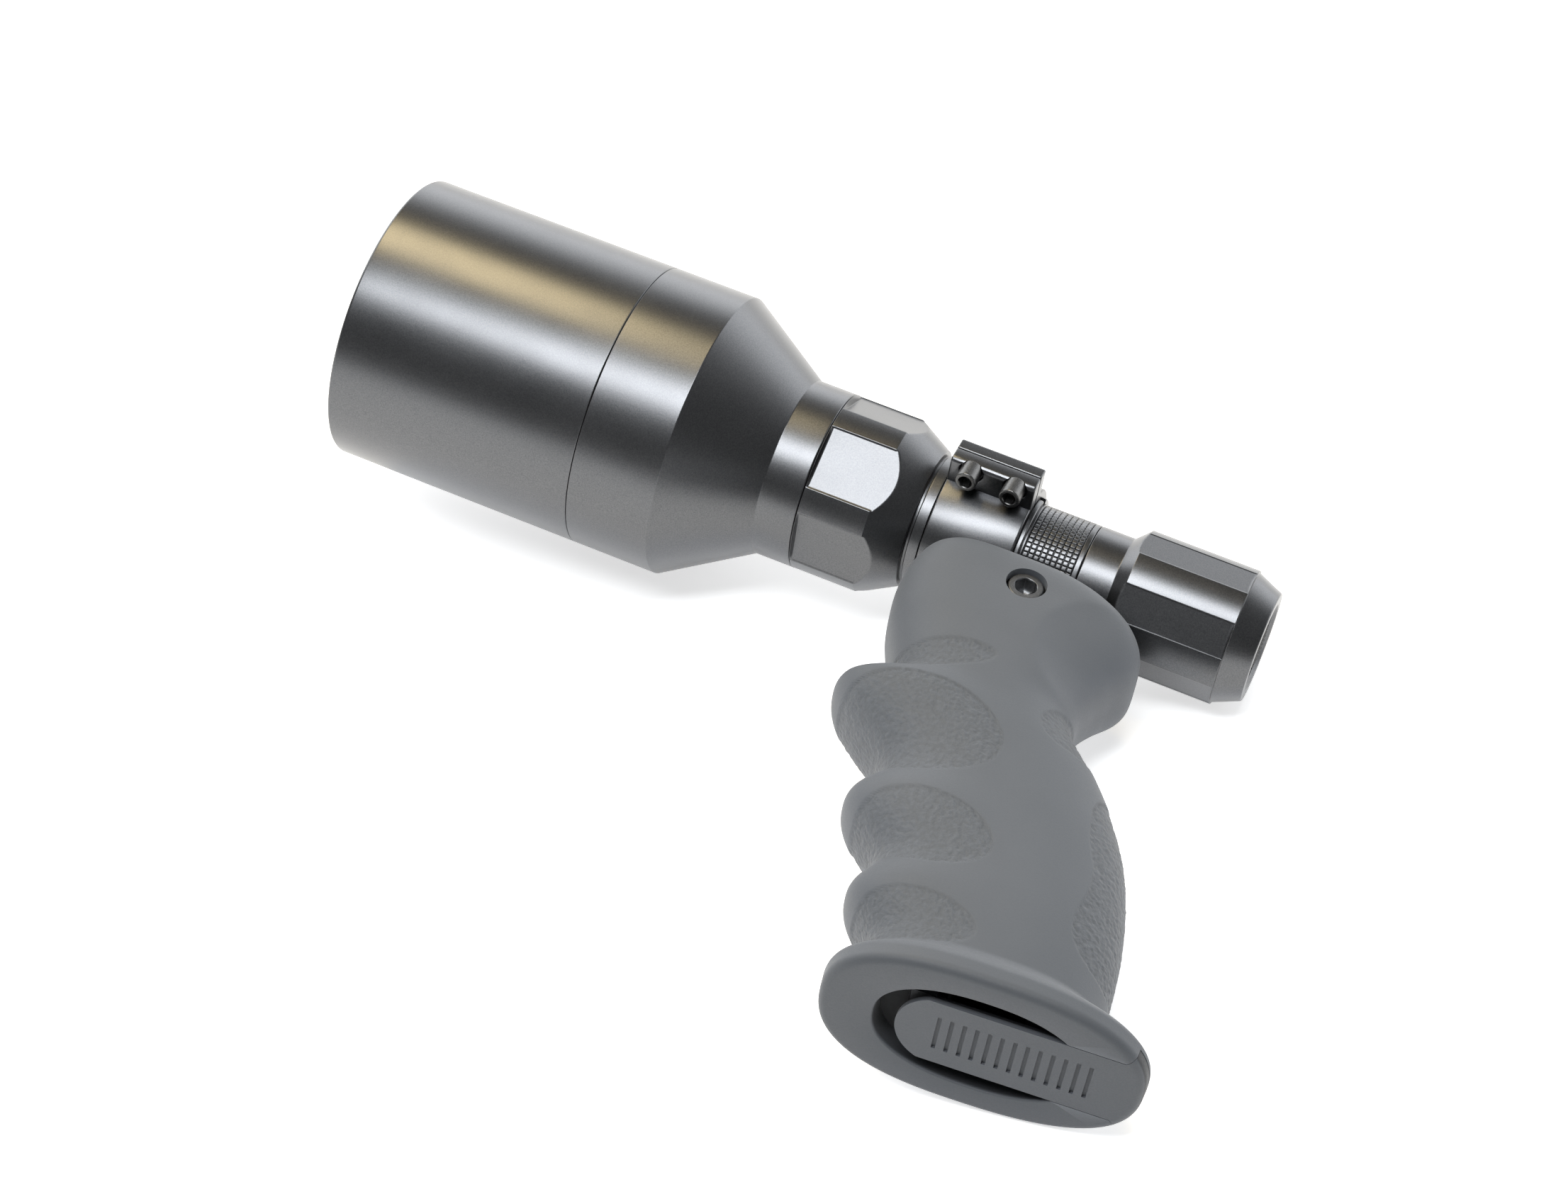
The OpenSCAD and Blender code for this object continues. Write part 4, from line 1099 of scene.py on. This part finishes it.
def make_grip_rubber():
    outer, share = sink_details(grip_rows(grip_levels()))
    foot = [even_section(recess_ring(lift, grow), GRIP_COLUMNS)
            for lift, grow in ((0, 0.35), (0.1, 0.1), (0.35, 0), (0.9, 0), (FOOT_FLOOR, 0))]
    levels = [*np.linspace(FOOT_Z + FOOT_FLOOR, GRIP_TOP_Z - 1, 24), GRIP_TOP_Z]
    rows = np.concatenate([outer, np.array(foot), grip_rows(levels, inset=RUBBER_T, full=False)])
    points = rows.reshape(-1, 3)
    body = loose_solid(points, grid_faces(len(rows), GRIP_COLUMNS, wrap_rows=True))
    stipple = np.zeros(len(points))
    stipple[:len(share)] = share
    # Painted shade: "inside" carries the painted foot shade on the outer skin, and full painted shade over the
    # pocket's deeper walls, its floor and the inner skin.
    inside = painted_foot_shade(points)
    inside[(len(outer) + 3) * GRIP_COLUMNS:] = 1
    set_attribute(body.data, "stipple", stipple)
    set_attribute(body.data, "inside", inside)
    bolt_hole = round_bar((BOLT_X, -30, BOLT_Z), (0, 1, 0), length=60, radius=BOLT_HOLE_R, sides=96)
    combine(body, bolt_hole, "DIFFERENCE")
    combine(body, foot_prism(cover_outline(0.15), -1, COVER_T + 0.3), "DIFFERENCE")
    kept = {name: values_of(body.data.attributes[name].data, "value", np.float32)
            for name in ("stipple", "inside")}
    grip = piece_from_tool("grip_rubber_moulding", body, "frame", "grip_rubber", "grip_rubber", crisp=50)
    for name, values in kept.items():
        set_attribute(grip.data, name, values)


COVER_SLOTS = 13
COVER_SLOT_START = 5.65
COVER_SLOT_PITCH = 2.58
COVER_SLOT_W = 0.85
COVER_SLOT_HALF_LENGTH = 4.7
COVER_SLOT_DEPTH = 0.6
# The T-shaped lug that holds the cover in the core
LUG_FRONT = 15.4
LUG_LENGTH = 5.0
LUG_NECK_HALF_W = 7.6
LUG_HEAD_HALF_W = 9.3
LUG_HEAD_LOW = 6.6
LUG_TOP = 8.2


def make_grip_cover():
    cover = loose_solid(*foot_prism(cover_outline(0), 0, COVER_RIM_T))
    overlap = COVER_RIM_T - 0.1
    tail_block = [(COVER_BLOCK_X, -COVER_HALF_W), (COVER_BLOCK_X, COVER_HALF_W)]
    tail_block += cover_outline(0)[NOSE_POINTS:]
    for outline in (cover_outline(-COVER_UNDERCUT), tail_block):
        combine(cover, foot_prism(outline, overlap, COVER_T), "UNION")
    levels = [FOOT_Z + height for height in (5, 4, 3, 2)] + FLARE_LEVELS
    rings = grip_rows(levels, columns=240)
    combine(cover, (rings.reshape(-1, 3), closed_faces(len(levels), 240)), "INTERSECT")
    for k in range(COVER_SLOTS):
        x = COVER_TAIL_X + COVER_SLOT_START + COVER_SLOT_PITCH * k
        outline = rounded(rectangle(x, x + COVER_SLOT_W, COVER_SLOT_HALF_LENGTH), radius=0.12)
        combine(cover, foot_prism(outline, -1, COVER_SLOT_DEPTH), "DIFFERENCE")
    for half_w, low in ((LUG_NECK_HALF_W, COVER_T - 0.5), (LUG_HEAD_HALF_W, LUG_HEAD_LOW)):
        lug = rectangle(LUG_FRONT - LUG_LENGTH, LUG_FRONT, half_w)
        combine(cover, foot_prism(lug, low, LUG_TOP), "UNION")
    softened(cover, 0.18)
    points = np.array([vertex.co for vertex in cover.data.vertices])
    height = points[:, 2] - foot_plane_z(points[:, 0])
    plate = piece_from_tool("grip_cover_plate", cover, "cover", "grip_rubber", "grip_cover")
    # Painted shade: full on the cover's raised walls and lug above its rim, and the painted foot shade on the rim.
    set_attribute(plate.data, "inside", np.where(height > COVER_RIM_T - 0.05, 1, painted_foot_shade(points)))


make_grip_rubber()
make_grip_cover()

# ---- CAD pieces that stay, each with its own finish ----
KEPT_NODES = {
    "lens_seal": "seal_rubber", "spigot_seal": "seal_rubber", "tube_seal": "seal_rubber",
    "led_pill": "brass", "led_board": "white_board", "led_emitter": "emitter", "driver_board": "green_board",
    "battery_cell": "cell_wrap", "tail_spring": "spring_steel", "switch_module": "green_board",
    "switch_ring": "bare_aluminium", "grip_core": "core_plastic", "grip_nut": "black_steel",
    "rail_jaw_left": "anodised", "rail_jaw_right": "anodised",
}
for node_name, finish in KEPT_NODES.items():
    mesh = frame["nodes"][node_name].data
    mesh.materials.clear()
    mesh.materials.append(MATERIALS[finish])


# ---- floor, light and camera ----
FLOOR_GLOW = 0.6


def make_floor():
    """A pale table that glows a little, so that it stays white under the object."""
    shader = Shader(bpy.data.materials.new("pale_floor"))
    colour = shader.mix(shader.noise(15, detail=2.0), (0.88, 0.88, 0.88), (0.9, 0.9, 0.9))
    bpy.ops.mesh.primitive_plane_add(size=30)
    floor = bpy.context.object
    floor.name = "floor"
    floor.data.materials.append(shader.finish(
        Base_Color=colour, Roughness=0.7, Emission_Color=(1, 1, 1, 1), Emission_Strength=FLOOR_GLOW))


ROOM_LIGHT = 0.15
WALL_LIGHT = 2.9


def make_world():
    """A dim room, with a pale wall behind the table that fades upward."""
    shader = Shader(bpy.data.worlds.new("studio"), "Background", "Generated")
    parts = shader.add("ShaderNodeSeparateXYZ", {0: shader.place}).outputs
    behind = shader.scaled(parts["Y"], -0.2, 0.75, 0.0, 1.0, "SMOOTHSTEP")
    low = shader.scaled(parts["Z"], 0.2, 0.75, 1.0, 0.0, "SMOOTHSTEP")
    wall = shader.math("MULTIPLY", behind, low)
    strength = shader.scaled(wall, 0.0, 1.0, ROOM_LIGHT, WALL_LIGHT, "SMOOTHSTEP")
    bpy.context.scene.world = shader.finish(Color=(0.97, 0.985, 1.0, 1), Strength=strength)


def softbox(name, place, target, width, height, radiance, colour, spin=0.0):
    """A rectangular light of a given radiance, facing the target, turned about its own axis."""
    data = bpy.data.lights.new(name, "AREA")
    data.shape = "RECTANGLE"
    data.size = width
    data.size_y = height
    data.energy = radiance * math.pi * width * height
    data.color = colour
    light = bpy.data.objects.new(name, data)
    light.location = place
    aim = (Vector(target) - Vector(place)).to_track_quat("-Z", "Y").to_matrix()
    turn = Matrix.Rotation(math.radians(spin), 3, "Z")
    light.rotation_euler = (aim @ turn).to_euler()
    bpy.context.scene.collection.objects.link(light)


def make_lights():
    softbox("overhead", (-0.03, -0.37, 1.0), (-0.03, -0.369, 0), 0.80, 0.31, 13.5, (0.96, 0.98, 1.0),
            spin=38)
    softbox("warm_lamp", (-0.30, 0.29, 1.0), (-0.30, 0.291, 0), 0.26, 0.44, 10.0, (1.0, 0.80, 0.46))
    softbox("left_fill", (-1.5, 0.5, 1.0), (0, 0, 0), 1.4, 1.2, 2.5, (0.98, 0.99, 1.0))


CAMERA_PLACE = Vector((0.2236, -0.5128, 0.5548))
CAMERA_TARGET = Vector((-0.0026, 0.0249, 0.0200))
CAMERA_LENS_MM = 81.4
CAMERA_ROLL = -0.28     # degrees


def make_camera():
    data = bpy.data.cameras.new("camera")
    data.lens = CAMERA_LENS_MM
    data.sensor_width = 36.0
    data.clip_start = 0.01
    data.clip_end = 20.0
    camera = bpy.data.objects.new("camera", data)
    aim = (CAMERA_TARGET - CAMERA_PLACE).to_track_quat("-Z", "Y").to_matrix()
    roll = Matrix.Rotation(math.radians(CAMERA_ROLL), 3, "Z")
    camera.matrix_world = Matrix.Translation(CAMERA_PLACE) @ (aim @ roll).to_4x4()
    bpy.context.scene.collection.objects.link(camera)
    bpy.context.scene.camera = camera


make_floor()
make_world()
make_lights()
make_camera()
bpy.context.scene.view_settings.view_transform = "Standard"
